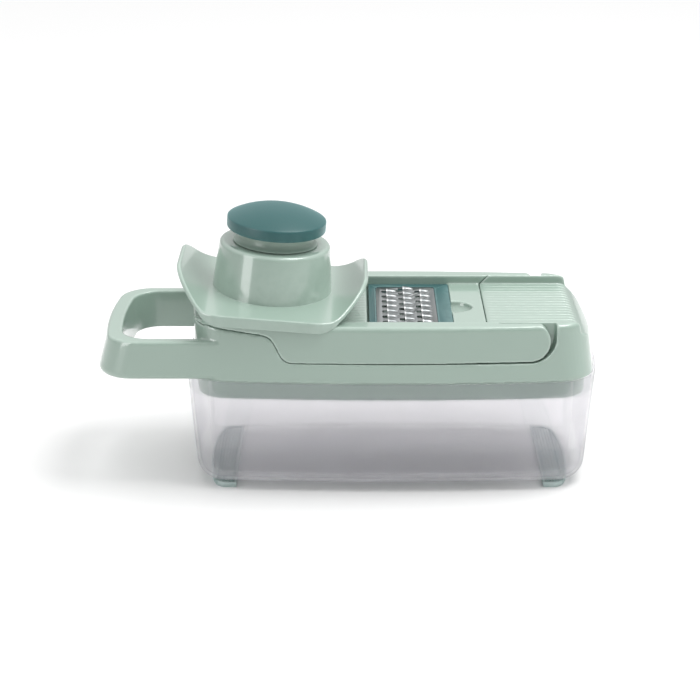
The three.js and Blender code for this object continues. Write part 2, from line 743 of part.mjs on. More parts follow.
// The sheet's profile: flat in the middle, curving up into a wing at each end.
function sheetProfile(offset) {
  const wing = Array.from({ length: 6 }, (_, i) => {
    const t = i / 5;
    return [FLAT_HALF + (GUARD_HALF_LENGTH - FLAT_HALF) * t ** 0.8, offset + WING_RISE * t ** 1.35];
  });
  const mirrored = wing.map(([x, z]) => [-x, z]).reverse();
  return [...mirrored, ...wing];
}

// The guard's plan: its four corners are cut off between the lips and the wing tips.
function guardPlan() {
  const corner = 6;
  const quarter = [
    [GUARD_HALF_LENGTH, TIP_HALF_WIDTH - corner],
    [GUARD_HALF_LENGTH - 1, TIP_HALF_WIDTH],
    [FLAT_HALF + corner, GUARD_HALF_WIDTH - corner],
    [FLAT_HALF, GUARD_HALF_WIDTH - 1],
    [FLAT_HALF - corner, GUARD_HALF_WIDTH],
  ];
  const mirrored = (sx, sy) => quarter.map(([x, y]) => [x * sx, y * sy]);
  const back = [...mirrored(1, 1), ...mirrored(-1, 1).reverse()];
  return [...back, ...mirrored(-1, -1), ...mirrored(1, -1).reverse()];
}

function guardBody() {
  const sheetSection = [...sheetProfile(0), ...sheetProfile(SHEET).reverse()];
  const sheet = drawnAlongY(sheetSection, -FAR, FAR).intersect(drawnAlongZ(guardPlan(), -20, 60));
  const lipHalf = FLAT_HALF - 4;
  const lipInside = GUARD_HALF_WIDTH - LIP_WALL;
  const lips = bothSides(block([-lipHalf, lipInside, -LIP_DROP], [lipHalf, GUARD_HALF_WIDTH, 1]));
  const tower = turned([
    [0, 0.5],
    [TOWER_FOOT, 0.5],
    [TOWER_TOP, TOWER_HEIGHT - RIM_ROUND],
    [TOWER_TOP - 0.9, TOWER_HEIGHT - 0.9],
    [TOWER_TOP - RIM_ROUND, TOWER_HEIGHT],
    [0, TOWER_HEIGHT],
  ]);
  const chamber = turned([
    [0, -2],
    [TOWER_FOOT - TOWER_WALL, -2],
    [TOWER_TOP - TOWER_WALL, TOWER_HEIGHT - TOWER_WALL],
    [0, TOWER_HEIGHT - TOWER_WALL],
  ]);
  const stemHole = turned([
    [0, TOWER_HEIGHT - 10],
    [STEM_RADIUS + 0.8, TOWER_HEIGHT - 10],
    [STEM_RADIUS + 0.8, TOWER_HEIGHT + 5],
    [0, TOWER_HEIGHT + 5],
  ]);
  return joined([sheet, lips, tower]).subtract(chamber).subtract(stemHole);
}

// ---------------------------------------------------------------- pusher

const stemFloor = PRONG_PLATE_Z + PRONG_PLATE_THICKNESS + GAP;

function pusherStem() {
  const top = KNOB_FOOT + KNOB_BAND - KNOB_WALL - GAP;
  const shoulder = TOWER_HEIGHT + GAP;
  return turned([
    [SCREW_HOLE, stemFloor],
    [STEM_RADIUS, stemFloor],
    [STEM_RADIUS, shoulder],
    [SHOULDER_RADIUS, shoulder],
    [SHOULDER_RADIUS, shoulder + SHOULDER_HEIGHT],
    [STEM_RADIUS, shoulder + SHOULDER_HEIGHT],
    [STEM_RADIUS, top],
    [STEM_RADIUS - STEM_WALL, top],
    [STEM_RADIUS - STEM_WALL, stemFloor + STEM_FLOOR],
    [SCREW_HOLE, stemFloor + STEM_FLOOR],
    [SCREW_HOLE, stemFloor],
  ]);
}

function knobCap() {
  const bandTop = KNOB_FOOT + KNOB_BAND;
  const ceiling = bandTop - KNOB_WALL;
  const domeRadius = (KNOB_RADIUS ** 2 + KNOB_DOME ** 2) / (2 * KNOB_DOME);
  const dome = [0.97, 0.75, 0.5, 0.25, 0].map((t) => {
    const r = KNOB_RADIUS * t;
    return [r, bandTop + KNOB_DOME - domeRadius + Math.sqrt(domeRadius ** 2 - r ** 2)];
  });
  const cap = turned([
    [0, ceiling],
    [KNOB_RADIUS - KNOB_WALL, ceiling],
    [KNOB_RADIUS - KNOB_WALL, KNOB_FOOT],
    [KNOB_RADIUS - 0.6, KNOB_FOOT],
    [KNOB_RADIUS, KNOB_FOOT + 0.6],
    [KNOB_RADIUS, bandTop - 0.6],
    ...dome,
  ]);
  const socketInside = STEM_RADIUS + GAP;
  const socketOutside = socketInside + SOCKET_WALL;
  const socket = turned([
    [socketInside, ceiling - SOCKET_DEPTH],
    [socketOutside, ceiling - SOCKET_DEPTH],
    [socketOutside, ceiling + 1],
    [socketInside, ceiling + 1],
    [socketInside, ceiling - SOCKET_DEPTH],
  ]);
  return cap.add(socket);
}

// A round plate with pointed prongs hanging under it in two rings.
function prongPlate() {
  const plate = turned([
    [SCREW_RADIUS + 0.4, PRONG_PLATE_Z],
    [PRONG_PLATE_RADIUS, PRONG_PLATE_Z],
    [PRONG_PLATE_RADIUS, PRONG_PLATE_Z + PRONG_PLATE_THICKNESS],
    [SCREW_RADIUS + 0.4, PRONG_PLATE_Z + PRONG_PLATE_THICKNESS],
    [SCREW_RADIUS + 0.4, PRONG_PLATE_Z],
  ]);
  const prongs = [];
  for (const [count, radius] of PRONG_RINGS) {
    for (let i = 0; i < count; i += 1) {
      const angle = (i / count) * 2 * Math.PI;
      const prong = new THREE.CylinderGeometry(1.6, 0.4, PRONG_LENGTH + 1, 6).rotateX(Math.PI / 2);
      const z = PRONG_PLATE_Z - PRONG_LENGTH / 2 + 0.5;
      prongs.push(solid(prong.translate(radius * Math.cos(angle), radius * Math.sin(angle), z)));
    }
  }
  return joined([plate, ...prongs]);
}

// The screw that clamps the prong plate to the stem, from below.
function stemScrew() {
  const headTop = PRONG_PLATE_Z - GAP;
  return turned([
    [0, headTop - SCREW_HEAD_HEIGHT],
    [SCREW_HEAD - 0.6, headTop - SCREW_HEAD_HEIGHT],
    [SCREW_HEAD, headTop - 1.4],
    [SCREW_HEAD, headTop],
    [SCREW_RADIUS, headTop],
    [SCREW_RADIUS, stemFloor + 6],
    [0, stemFloor + 7],
  ], 16);
}

// ---------------------------------------------------------------- assembly

const group = new THREE.Group();

function place(parent, name, shape, material) {
  const mesh = new THREE.Mesh(geometryOf(shape), material);
  mesh.name = name;
  parent.add(mesh);
}

place(group, 'container', container(), clear());
place(group, 'foot_pad_left', footPad(PAD_LEFT_EDGE, -1), padRubber());
place(group, 'foot_pad_right', footPad(PAD_RIGHT_EDGE, 1), padRubber());
place(group, 'base_frame', baseFrame(), sage());
place(group, 'hinge_pin_front', hingePin(-1), steel());
place(group, 'hinge_pin_back', hingePin(1), steel());
place(group, 'dicing_frame', dicingFrame(), insertTeal());
for (let row = 1; row < GRID_ROWS; row += 1) {
  place(group, `long_blade_${row}`, longBlade(row), steel());
}
for (let column = 1; column < GRID_COLUMNS; column += 1) {
  place(group, `cross_blade_${column}`, crossBlade(column), steel());
}
place(group, 'lid_frame', lidFrame(), sage());
place(group, 'press_pad', pressPad(), insertTeal());
place(group, 'insert_frame', insertFrame(), insertTeal());
place(group, 'grater_plate', graterPlate(), steel());

const guard = new THREE.Group();
guard.position.set(GUARD_X, 0, GUARD_LIFT);
guard.rotation.y = GUARD_TILT;
place(guard, 'guard_body', guardBody(), sage());
place(guard, 'pusher_stem', pusherStem(), sage());
place(guard, 'knob_cap', knobCap(), teal());
place(guard, 'prong_plate', prongPlate(), sage());
place(guard, 'stem_screw', stemScrew(), steel());
group.add(guard);

export default group;
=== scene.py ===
"""The looks of a box mandoline: clear tub, sage base with a looped handle, flip lid with a grater
insert between raised rails, and a pronged food guard with a teal knob.

Everything is shaped in millimetres and becomes metres when it is made into an object. +X runs from
the handle to the lid's hinge, +Y to the back, +Z up.
"""

import json
import math

import bmesh
import bpy
import numpy as np
from mathutils import Matrix, Vector


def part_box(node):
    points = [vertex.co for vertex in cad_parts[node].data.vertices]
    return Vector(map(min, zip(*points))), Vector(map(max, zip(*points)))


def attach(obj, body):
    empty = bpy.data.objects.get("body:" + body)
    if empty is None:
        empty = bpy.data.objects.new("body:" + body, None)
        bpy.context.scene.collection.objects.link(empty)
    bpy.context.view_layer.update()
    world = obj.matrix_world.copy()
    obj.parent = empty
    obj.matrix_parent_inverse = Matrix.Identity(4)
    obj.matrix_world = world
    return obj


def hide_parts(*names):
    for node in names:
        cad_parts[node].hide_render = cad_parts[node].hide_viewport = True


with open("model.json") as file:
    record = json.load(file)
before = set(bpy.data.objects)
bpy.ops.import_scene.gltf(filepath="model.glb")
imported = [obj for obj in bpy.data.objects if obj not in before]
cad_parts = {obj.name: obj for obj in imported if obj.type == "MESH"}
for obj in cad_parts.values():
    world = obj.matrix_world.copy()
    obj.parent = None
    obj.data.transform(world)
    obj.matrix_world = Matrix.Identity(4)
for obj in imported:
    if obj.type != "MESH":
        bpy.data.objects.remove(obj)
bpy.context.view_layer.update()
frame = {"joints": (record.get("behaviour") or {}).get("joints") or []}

MM = 0.001


def cad_box(node):
    """The lowest and the highest corner of a CAD node, in millimetres."""
    low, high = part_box(node)
    return np.array(low) / MM, np.array(high) / MM


# ---------------------------------------------------------------- sizes

TUB_LOW, TUB_HIGH = cad_box("container")
BASE_LOW, BASE_HIGH = cad_box("base_frame")
LID_LOW, _ = cad_box("lid_frame")
INSERT_LOW, INSERT_HIGH = cad_box("insert_frame")
PLATE_LOW, PLATE_HIGH = cad_box("grater_plate")
_, GUARD_HIGH = cad_box("guard_body")

GAP = 0.3  # clearance between pieces that touch
SEAM_GAP = 0.4  # between the lid and the base
FAR = 400.0  # longer than the object, for cutting shapes

BOW_CENTRE = (TUB_LOW[0] + TUB_HIGH[0]) / 2
BOW_REACH = (TUB_HIGH[0] - TUB_LOW[0]) / 2
SIDE_RADIUS = 1400.0
END_RADIUS = 290.0

RIM = TUB_HIGH[2] + GAP
DECK = LID_LOW[2] - SEAM_GAP
BED = INSERT_HIGH[2]
RAIL = BASE_HIGH[2]

TUB_HALF_WIDTH = TUB_HIGH[1]
TUB_FLOOR = TUB_LOW[2]
TUB_WALL = 2.2
TUB_DRAFT = 0.072
TUB_CORNER = 24.0

BASE_LEFT = LID_LOW[0]
BASE_RIGHT = BASE_HIGH[0]
BASE_HALF_WIDTH = BASE_HIGH[1]
BASE_CORNER = 20.0
BASE_WALL = 3.0
SIDE_DRAFT = 0.065
END_DRAFT = 0.16
SKIRT_FOOT = BASE_LOW[2]
SKIRT_INSET = 6.3
SKIRT_WALL = 2.5

HANDLE_TIP = BASE_LOW[0]
HANDLE_FOOT = RIM + 0.4
HANDLE_TOP = 112.0
HANDLE_END_BAR = 14.0
HANDLE_SIDE_BAR = 11.0
HANDLE_HALF_WIDTH = 58.5
HANDLE_CORNER = 20.0
HANDLE_SIDE_LEAN = 0.04
HANDLE_END_LEAN = 0.24

CHANNEL = 48.8
CORE = 50.2
CORE_INSIDE = 46.4
PLATE = 2.6
RAMP_START = -42.5
RAMP = 0.127
SEAM_TONGUE = -55.0
BED_SEAM = 96.1
END_SLOPE_START = 154.0
END_ROUND_START = 160.0

JOINTS = {joint["name"]: joint for joint in frame["joints"]}
HINGE_X, _, HINGE_Z = (value / MM for value in JOINTS["lid_hinge"]["pos_m"])
GUARD_TILT = math.asin(JOINTS["pusher_lift"]["axis"][0])
KNOB_LOW, _ = cad_box("knob_cap")
KNOB_FOOT = 47.7
KNOB_RADIUS = 34.5
KNOB_CHAMFER = 0.6
TILT_COS, TILT_SIN = math.cos(GUARD_TILT), math.sin(GUARD_TILT)
GUARD_AT = Vector(
    (
        KNOB_LOW[0] + KNOB_RADIUS * TILT_COS - (KNOB_FOOT + KNOB_CHAMFER) * TILT_SIN,
        0.0,
        KNOB_LOW[2] - KNOB_FOOT * TILT_COS + (KNOB_RADIUS - KNOB_CHAMFER) * TILT_SIN,
    )
)
ARM_RADIUS = 13.7
NOTCH_WALL = 142.0
BORE = 2.8

INSERT_LEFT, INSERT_RIGHT = INSERT_LOW[0], INSERT_HIGH[0]
LEDGE = 4.0
LEDGE_DEPTH = 6.2
SCOOP = (15, 11.5, 7.6)

GRID_LEFT = -38.0
GRID_CELL = 11.5
GRID_COLUMNS = 4
GRID_ROWS = 8
GRID_RIM = 4.0
GRID_FOOT = 92.0
SEAT_FOOT = 88.5

# ---------------------------------------------------------------- mesh tools


def in_scene(name, data):
    """A new object in the scene that holds the data."""
    made = bpy.data.objects.new(name, data)
    bpy.context.scene.collection.objects.link(made)
    return made


def make_object(name, points, faces):
    """A closed mesh from points in millimetres, with its faces pointing out."""
    mesh = bpy.data.meshes.new(name)
    mesh.from_pydata((np.asarray(points, float) * MM).tolist(), [], faces)
    work = bmesh.new()
    work.from_mesh(mesh)
    bmesh.ops.recalc_face_normals(work, faces=work.faces)
    work.to_mesh(mesh)
    work.free()
    return in_scene(name, mesh)


def loft(name, rings, washer=False):
    """A solid through rings with equal numbers of points, with a cap at each end. A washer has no
    caps: its last ring goes on to the first."""
    count, last = len(rings[0]), len(rings) - 1
    faces = [] if washer else [list(range(count)), [count * last + i for i in range(count)]]
    for ring in range(last + washer):
        low, high = ring * count, (ring + 1) % len(rings) * count
        for i in range(count):
            j = (i + 1) % count
            faces.append([low + i, low + j, high + j, high + i])
    return make_object(name, np.concatenate(rings), faces)


def at_height(outline_points, z):
    """A level ring at one height from XY points."""
    flat = np.asarray(outline_points, float)
    return np.column_stack([flat, np.full(len(flat), z)])


def prism_y(name, profile, y0, y1):
    """An XZ profile drawn out along Y."""
    flat = np.asarray(profile, float)
    ring = lambda y: np.column_stack([flat[:, 0], np.full(len(flat), y), flat[:, 1]])
    return loft(name, [ring(y0), ring(y1)])


def prism_z(name, outline_points, z0, z1):
    """An XY outline drawn out along Z."""
    return loft(name, [at_height(outline_points, z0), at_height(outline_points, z1)])


def block(name, low, high):
    """A box between two corners, for cutting and for joining."""
    (x0, y0, z0), (x1, y1, z1) = low, high
    return prism_z(name, [(x0, y0), (x1, y0), (x1, y1), (x0, y1)], z0, z1)


def rod_y(name, x, z, radius, y0, y1, sides=48):
    """A round bar along Y."""
    return prism_y(name, arc(x, z, radius, 0, 360 * (1 - 1 / sides), sides - 1), y0, y1)


def turned(name, profile, sides=128):
    """A body turned round the Z axis from a closed [radius, z] profile, or one that starts and ends
    on the axis."""
    points, faces, rows = [], [], []
    for radius, z in profile:
        if radius == 0:
            rows.append([len(points)] * sides)
            points.append((0.0, 0.0, z))
            continue
        rows.append([len(points) + i for i in range(sides)])
        turn = np.arange(sides) * 2 * math.pi / sides
        points.extend(zip(radius * np.cos(turn), radius * np.sin(turn), [z] * sides))
    on_axis = profile[0][0] == 0
    pairs = list(zip(rows, rows[1:])) + ([] if on_axis else [(rows[-1], rows[0])])
    for low, high in pairs:
        for i in range(sides):
            j = (i + 1) % sides
            corners = [low[i], low[j], high[j], high[i]]
            faces.append(list(dict.fromkeys(corners)))
    return make_object(name, points, [face for face in faces if len(face) > 2])


def arc(cx, cy, radius, start, end, steps):
    """Points of an arc, from one angle to another in degrees."""
    angles = np.radians(np.linspace(start, end, steps + 1))
    return [(cx + radius * math.cos(a), cy + radius * math.sin(a)) for a in angles]


def bake(piece):
    """Applies the piece's modifiers."""
    bpy.context.view_layer.update()
    seen = piece.evaluated_get(bpy.context.evaluated_depsgraph_get())
    mesh = bpy.data.meshes.new_from_object(seen)
    piece.modifiers.clear()
    old, piece.data = piece.data, mesh
    bpy.data.meshes.remove(old)
    mesh.name = piece.name
    return piece


def combine(piece, other, operation):
    """Joins other to the piece, cuts it off or keeps what both share; other is used up."""
    step = piece.modifiers.new(operation.lower(), "BOOLEAN")
    step.operation = operation
    step.solver = "MANIFOLD"
    step.object = other
    bake(piece)
    bpy.data.objects.remove(other)
    return piece


def cut(piece, *others):
    for other in others:
        combine(piece, other, "DIFFERENCE")
    return piece


def add(piece, *others):
    for other in others:
        combine(piece, other, "UNION")
    return piece


def keep_inside(piece, other):
    return combine(piece, other, "INTERSECT")


def join(name, pieces):
    """Several meshes as one object, not fused."""
    work = bmesh.new()
    for piece in pieces:
        piece.data.transform(piece.matrix_world)
        work.from_mesh(piece.data)
        bpy.data.objects.remove(piece)
    mesh = bpy.data.meshes.new(name)
    work.to_mesh(mesh)
    work.free()
    return in_scene(name, mesh)


def mirrored_y(piece):
    """A copy of the piece on the other long side."""
    other = in_scene(piece.name + "_back", piece.data.copy())
    other.data.transform(Matrix.Diagonal((1, -1, 1, 1)))
    other.data.flip_normals()
    return other


MOULD_CELL = 0.75
MOULD_SOFTENING = 8
MOULD_MOST_FACES = 95_000


def soften(piece, cell=MOULD_CELL, rounds=MOULD_SOFTENING):
    """Gives a cut-out solid the rounded edges of a moulding: one even skin, then smoothed."""
    skin = piece.modifiers.new("skin", "REMESH")
    skin.mode = "VOXEL"
    skin.voxel_size = cell * MM
    smooth = piece.modifiers.new("round edges", "SMOOTH")
    smooth.factor = 0.5
    smooth.iterations = rounds
    bake(piece)
    faces = len(piece.data.polygons)
    if faces > MOULD_MOST_FACES:
        thin = piece.modifiers.new("thin out", "DECIMATE")
        thin.ratio = MOULD_MOST_FACES / faces
        bake(piece)
    piece.data.polygons.foreach_set("use_smooth", [True] * len(piece.data.polygons))
    return piece


def shade_smooth(piece, angle=40):
    """Smooth shading that keeps the edges sharper than the angle."""
    piece.data.polygons.foreach_set("use_smooth", [True] * len(piece.data.polygons))
    piece.data.set_sharp_from_angle(angle=math.radians(angle))
    return piece


def bevelled(piece, width, segments=3, angle=35):
    """Rounds the piece's edges."""
    step = piece.modifiers.new("edges", "BEVEL")
    step.width = width * MM
    step.segments = segments
    step.limit_method = "ANGLE"
    step.angle_limit = math.radians(angle)
    step.harden_normals = True
    bake(piece)
    return shade_smooth(piece)


def finished(piece, body, slot, material, *nodes):
    """Puts a piece on its body, with its material, in place of its CAD nodes."""
    piece.data.materials.clear()
    piece.data.materials.append(material)
    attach(piece, body)
    if nodes:
        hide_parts(*nodes)
    return piece


# ---------------------------------------------------------------- plan outlines


def bowed(points):
    """The bow of the body's plan: long sides drawn in towards the ends, and ends towards the sides."""
    x, y = np.asarray(points, float).T
    along = np.clip((x - BOW_CENTRE) / BOW_REACH, -1, 1)
    side_bow = (x - BOW_CENTRE) ** 2 / (2 * SIDE_RADIUS * TUB_HALF_WIDTH)
    end_bow = y**2 / (2 * END_RADIUS) * along**3
    return np.column_stack([x - end_bow, y * (1 - side_bow)])


def rounded_rectangle(left, right, half, corner, corner_steps=10, side_steps=60, end_steps=24):
    """Points round a rounded rectangle, anticlockwise, with points along its sides."""
    turns = [
        (right - corner, -half + corner, -90),
        (right - corner, half - corner, 0),
        (left + corner, half - corner, 90),
        (left + corner, -half + corner, 180),
    ]
    points = []
    for i, (cx, cy, start) in enumerate(turns):
        points += arc(cx, cy, corner, start, start + 90, corner_steps)
        nx, ny, angle = turns[(i + 1) % 4]
        end = arc(nx, ny, corner, angle, angle, 0)[0]
        steps = side_steps if i % 2 else end_steps
        points += [tuple(p) for p in np.linspace(points[-1], end, steps + 1)[1:-1]]
    return np.array(points)


def tub_ring(z, inset=0.0):
    drawn = inset + (RIM - GAP - z) * TUB_DRAFT
    plan = rounded_rectangle(
        BOW_CENTRE - BOW_REACH + drawn,
        BOW_CENTRE + BOW_REACH - drawn,
        TUB_HALF_WIDTH - drawn,
        TUB_CORNER - drawn,
    )
    return at_height(bowed(plan), z)


def body_ring(z, inset=0.0):
    """The plan of the base and the lid at a height."""
    up = z - RIM
    plan = rounded_rectangle(
        BASE_LEFT + inset,
        BASE_RIGHT - up * END_DRAFT - inset,
        BASE_HALF_WIDTH - up * SIDE_DRAFT - inset,
        max(BASE_CORNER - inset, 1.0),
    )
    return at_height(bowed(plan), z)


def fillet_steps(radius, steps=5):
    """Pairs of inset and height along a quarter round that ends level."""
    angles = np.radians(np.linspace(0, 90, steps + 1))
    return [(radius * (1 - math.cos(a)), radius * math.sin(a)) for a in angles]


def foot_steps(radius, steps=5):
    """Pairs of inset and height along a quarter round that starts level, at the foot of a wall."""
    return [(inset, radius - up) for inset, up in reversed(fillet_steps(radius, steps))]


def ramp(x):
    """Height of the ramp, which rises towards the handle, over a level surface."""
    return np.maximum(RAMP_START - np.asarray(x, float), 0) * RAMP


# ---------------------------------------------------------------- tub


TUB_FLARE = 0.9
TUB_FOOT_ROUND = 12.0
TUB_FOOT_ROUND_INSIDE = 10.0
WALL_START = 16.0  # height above the floor where the walls begin


def tub_wall(z, inset=0.0):
    """The tub's plan at a height, with walls that lean out a little more towards the rim."""
    return tub_ring(z, inset - TUB_FLARE * (z - TUB_FLOOR) / (RIM - TUB_FLOOR))


def make_tub():
    """Outside from the floor up, over the rounded rim, and down the inside."""
    top, start = RIM - GAP, TUB_FLOOR + WALL_START
    outer = [tub_wall(TUB_FLOOR + up, inset) for inset, up in foot_steps(TUB_FOOT_ROUND, 8)]
    walls = [tub_wall(z) for z in np.linspace(start, top - 1, 8)]
    rim_radius = TUB_WALL / 2
    rim = [
        tub_wall(top - rim_radius + rim_radius * math.sin(a), rim_radius * (1 - math.cos(a)))
        for a in np.linspace(0, math.pi, 9)
    ]
    inner_walls = [tub_wall(z, TUB_WALL) for z in np.linspace(top - 2, start, 8)]
    inner = [
        tub_wall(TUB_FLOOR + TUB_WALL + up, TUB_WALL + inset)
        for inset, up in reversed(foot_steps(TUB_FOOT_ROUND_INSIDE, 8))
    ]
    tub = loft("tub_shell", outer + walls + rim + inner_walls + inner)
    return shade_smooth(tub, 50)


# ---------------------------------------------------------------- base


def body_envelope(inset=0.0, edge=3.0):
    """The outside of the base and the lid together, with the rails' rounded outer edge on top."""
    rings = [body_ring(z, inset) for z in np.linspace(RIM, RAIL - edge, 6)]
    for drawn, up in fillet_steps(edge):
        ring = body_ring(RAIL - edge + up, inset + drawn)
        rings.append(ring + np.outer(ramp(ring[:, 0]), (0, 0, 1)))
    return loft("envelope", rings)


def turned_corner(before, corner, after, reach, steps=10):
    """A curve in place of a corner, from the reach before it to the reach after it."""
    before, corner, after = (np.array(point, float) for point in (before, corner, after))
    start = corner + (before - corner) / np.linalg.norm(before - corner) * reach
    end = corner + (after - corner) / np.linalg.norm(after - corner) * reach
    along = np.linspace(0, 1, steps)
    return [tuple(start * (1 - t) ** 2 + corner * 2 * t * (1 - t) + end * t**2) for t in along]


SEAM_TOP = 124.9
SEAM_SHOULDER = (-52.6, 116.3)
SEAM_STEP = -43.4
SEAM_TURN = 6.0


def seam(lift):
    """The line between the base and the lid on the long sides, from the handle to the hinge."""
    start = (BASE_LEFT - 5, SEAM_TOP + lift)
    shoulder = (SEAM_SHOULDER[0], SEAM_SHOULDER[1] + lift)
    step = (SEAM_STEP, DECK + lift)
    upper_turn = turned_corner(start, shoulder, step, SEAM_TURN)
    lower_turn = turned_corner(shoulder, step, (0, DECK + lift), SEAM_TURN)
    return [start] + upper_turn + lower_turn


def rail_end():
    """The rails' tops where they round down at the hinge's end."""
    length, drop = 12, 10
    return [(END_ROUND_START + t * length, RAIL - drop * t**2) for t in np.linspace(0, 1, 9)]


def end_slope(steps):
    """The bed's way down at the hinge's end, at steps from 0 to 1."""
    length, drop = 20, 15
    return [(END_SLOPE_START + t * length, BED - drop * t**1.7) for t in steps]


def handle_outline(left, half, corner, inset):
    """The handle's plan: straight along its sides, with a bowed end."""
    x, y = left + inset, half - inset
    radius = max(corner - inset, 1.0)
    right = BASE_LEFT + BASE_CORNER
    points = [(right, -y), (right, y)] + arc(x + radius, y - radius, radius, 90, 180, 14)
    points += [(x, t * (y - radius)) for t in np.linspace(0.9, -0.9, 19)]
    points += arc(x + radius, -y + radius, radius, 180, 270, 14)
    return [(px if px == right else px + py**2 / (2 * END_RADIUS), py) for px, py in points]


def handle_bar():
    """The handle's loop as a solid slab with rounded edges."""
    foot, foot_round, top_round = HANDLE_FOOT, 4.0, 1.8

    def ring(z, inset):
        up = max(z - foot - foot_round, 0)
        left = HANDLE_TIP + up * HANDLE_END_LEAN
        plan = handle_outline(left, HANDLE_HALF_WIDTH, HANDLE_CORNER, inset + up * HANDLE_SIDE_LEAN)
        return at_height(plan, z)

    rings = [ring(foot + up, drawn) for drawn, up in foot_steps(foot_round)]
    rings += [ring(z, 0) for z in np.linspace(foot + foot_round + 2, HANDLE_TOP - top_round - 2, 5)]
    rings += [ring(HANDLE_TOP - top_round + up, drawn) for drawn, up in fillet_steps(top_round)]
    return loft("handle", rings)


def handle_hole():
    """The grip opening, flared where it meets the handle's top and foot."""
    left = HANDLE_TIP + HANDLE_END_BAR + 5
    half = HANDLE_HALF_WIDTH - HANDLE_SIDE_BAR
    corner = HANDLE_CORNER - HANDLE_SIDE_BAR / 2
    flare, draft = 1.2, 1 / 15

    def ring(z, inset):
        return at_height(handle_outline(left, half, corner, inset - (z - RIM) * draft), z)

    rings = [ring(RIM - 3, -flare), ring(HANDLE_FOOT - 0.1, -flare)]
    rings += [ring(HANDLE_FOOT + up, -drawn) for drawn, up in foot_steps(flare)][1:]
    rings += [ring(HANDLE_TOP - flare + up, -drawn) for drawn, up in fillet_steps(flare)]
    rings += [ring(HANDLE_TOP + 3, -flare)]
    return loft("grip_opening", rings)


def grid_box(margin, z0, z1):
    """A block round the dicing grid's cells."""
    right = GRID_LEFT + GRID_COLUMNS * GRID_CELL
    half = GRID_ROWS * GRID_CELL / 2
    low, high = (GRID_LEFT - margin, -half - margin, z0), (right + margin, half + margin, z1)
    return block("grid_box", low, high)


BLOCK_CEILING = 111.0
END_CEILING = 96.0


def base_hollow():
    """The room inside the base, under its deck, its left block and its end block."""
    deck = DECK - BASE_WALL
    inside = loft("inside", [body_ring(RIM - 2, BASE_WALL), body_ring(RAIL, BASE_WALL)])
    profile = [
        (-FAR, RIM - 2),
        (-FAR, BLOCK_CEILING),
        (SEAM_TONGUE - BASE_WALL, BLOCK_CEILING),
        (SEAM_TONGUE - BASE_WALL, deck),
        (BED_SEAM + SEAM_GAP + BASE_WALL, deck),
        (BED_SEAM + SEAM_GAP + BASE_WALL, BED - PLATE),
        (END_SLOPE_START - BASE_WALL, BED - PLATE),
        (BASE_RIGHT - 2, END_CEILING),
        (FAR, END_CEILING),
        (FAR, RIM - 2),
    ]
    core = prism_y("core", profile, -CORE_INSIDE, CORE_INSIDE)
    sides = block("sides", (-FAR, -FAR, RIM - 2), (FAR, FAR, deck))
    return keep_inside(inside, add(core, sides))


def notch_floor():
    """The notch round the lid's arm, from its foot up to its far wall."""
    near, far = ARM_RADIUS + 1, NOTCH_WALL - HINGE_X
    points = []
    for t in np.linspace(0, 1, 16):
        angle, reach = math.radians(278 + 82 * t), near + (far - near) * t**1.5
        points.append((HINGE_X + reach * math.cos(angle), HINGE_Z + reach * math.sin(angle)))
    return points


def make_base():
    side_profile = [(BASE_LEFT - 5, RIM)] + seam(0)
    side_profile += notch_floor()
    side_profile += [(NOTCH_WALL, RAIL)] + rail_end() + [(BASE_RIGHT + 5, RIM)]
    front = BED_SEAM + SEAM_GAP
    core_profile = [
        (BASE_LEFT - 5, RIM),
        (BASE_LEFT - 5, RAIL),
        (SEAM_TONGUE, RAIL),
        (SEAM_TONGUE, DECK),
        (front, DECK),
        (front, BED),
        (front + RAIL - BED, RAIL),
    ]
    core_profile += rail_end() + [(BASE_RIGHT + 5, RIM)]
    slope = end_slope(np.linspace(0, 1, 12))
    channel = [(BED_SEAM - 5, BED)] + slope + [(BASE_RIGHT + 6, RAIL + 9), (BED_SEAM - 5, RAIL + 9)]
    left, right, foot = BASE_LEFT - 5, SEAM_TONGUE + 12, BED - PLATE - SEAM_GAP
    tongue = [(left, foot + ramp(left)), (right, foot + ramp(right)), (right, FAR), (left, FAR)]
    tongue_reach = CORE + 2 * SEAM_GAP

    sides = prism_y("sides", side_profile, -FAR, FAR)
    cut(sides, block("middle", (-FAR, -CORE, 0), (FAR, CORE, FAR)))
    shell = add(sides, prism_y("core", core_profile, -CORE, CORE))
    keep_inside(shell, body_envelope())
    cut(shell, prism_y("channel", channel, -CHANNEL, CHANNEL))
    cut(shell, prism_y("tongue_room", tongue, -tongue_reach, tongue_reach))
    body = loft("body", [body_ring(RIM - 3, 1), body_ring(HANDLE_TOP + 4, 1)])
    add(shell, cut(handle_bar(), cut(handle_hole(), body)))
    cut(shell, base_hollow())

    inner = SKIRT_INSET + SKIRT_WALL
    skirt = loft("skirt", [tub_ring(SKIRT_FOOT, SKIRT_INSET), tub_ring(RIM, SKIRT_INSET)])
    cut(skirt, loft("skirt_inside", [tub_ring(SKIRT_FOOT - 1, inner), tub_ring(RIM + 1, inner)]))
    floor_ring = loft("floor_ring", [body_ring(RIM - 0.001, 0.5), body_ring(RIM + BASE_WALL, 0.5)])
    cut(floor_ring, loft("floor_hole", [tub_ring(RIM - 1, inner), tub_ring(RIM + 5, inner)]))
    add(shell, skirt, floor_ring, grid_box(GRID_RIM + BASE_WALL, SEAT_FOOT, DECK))
    cut(shell, grid_box(GRID_RIM + GAP, GRID_FOOT - GAP, RAIL), grid_box(1, SEAT_FOOT - 8.5, RAIL))
    cut(shell, block("drop_window", (19, -47, SEAT_FOOT - 8.5), (90, 47, RAIL)))
    for side in (-1, 1):
        cut(shell, rod_y("bore", HINGE_X, HINGE_Z, BORE, side * 43, side * (CORE + 2)))
    shell.name = "base_shell"
    return soften(shell)


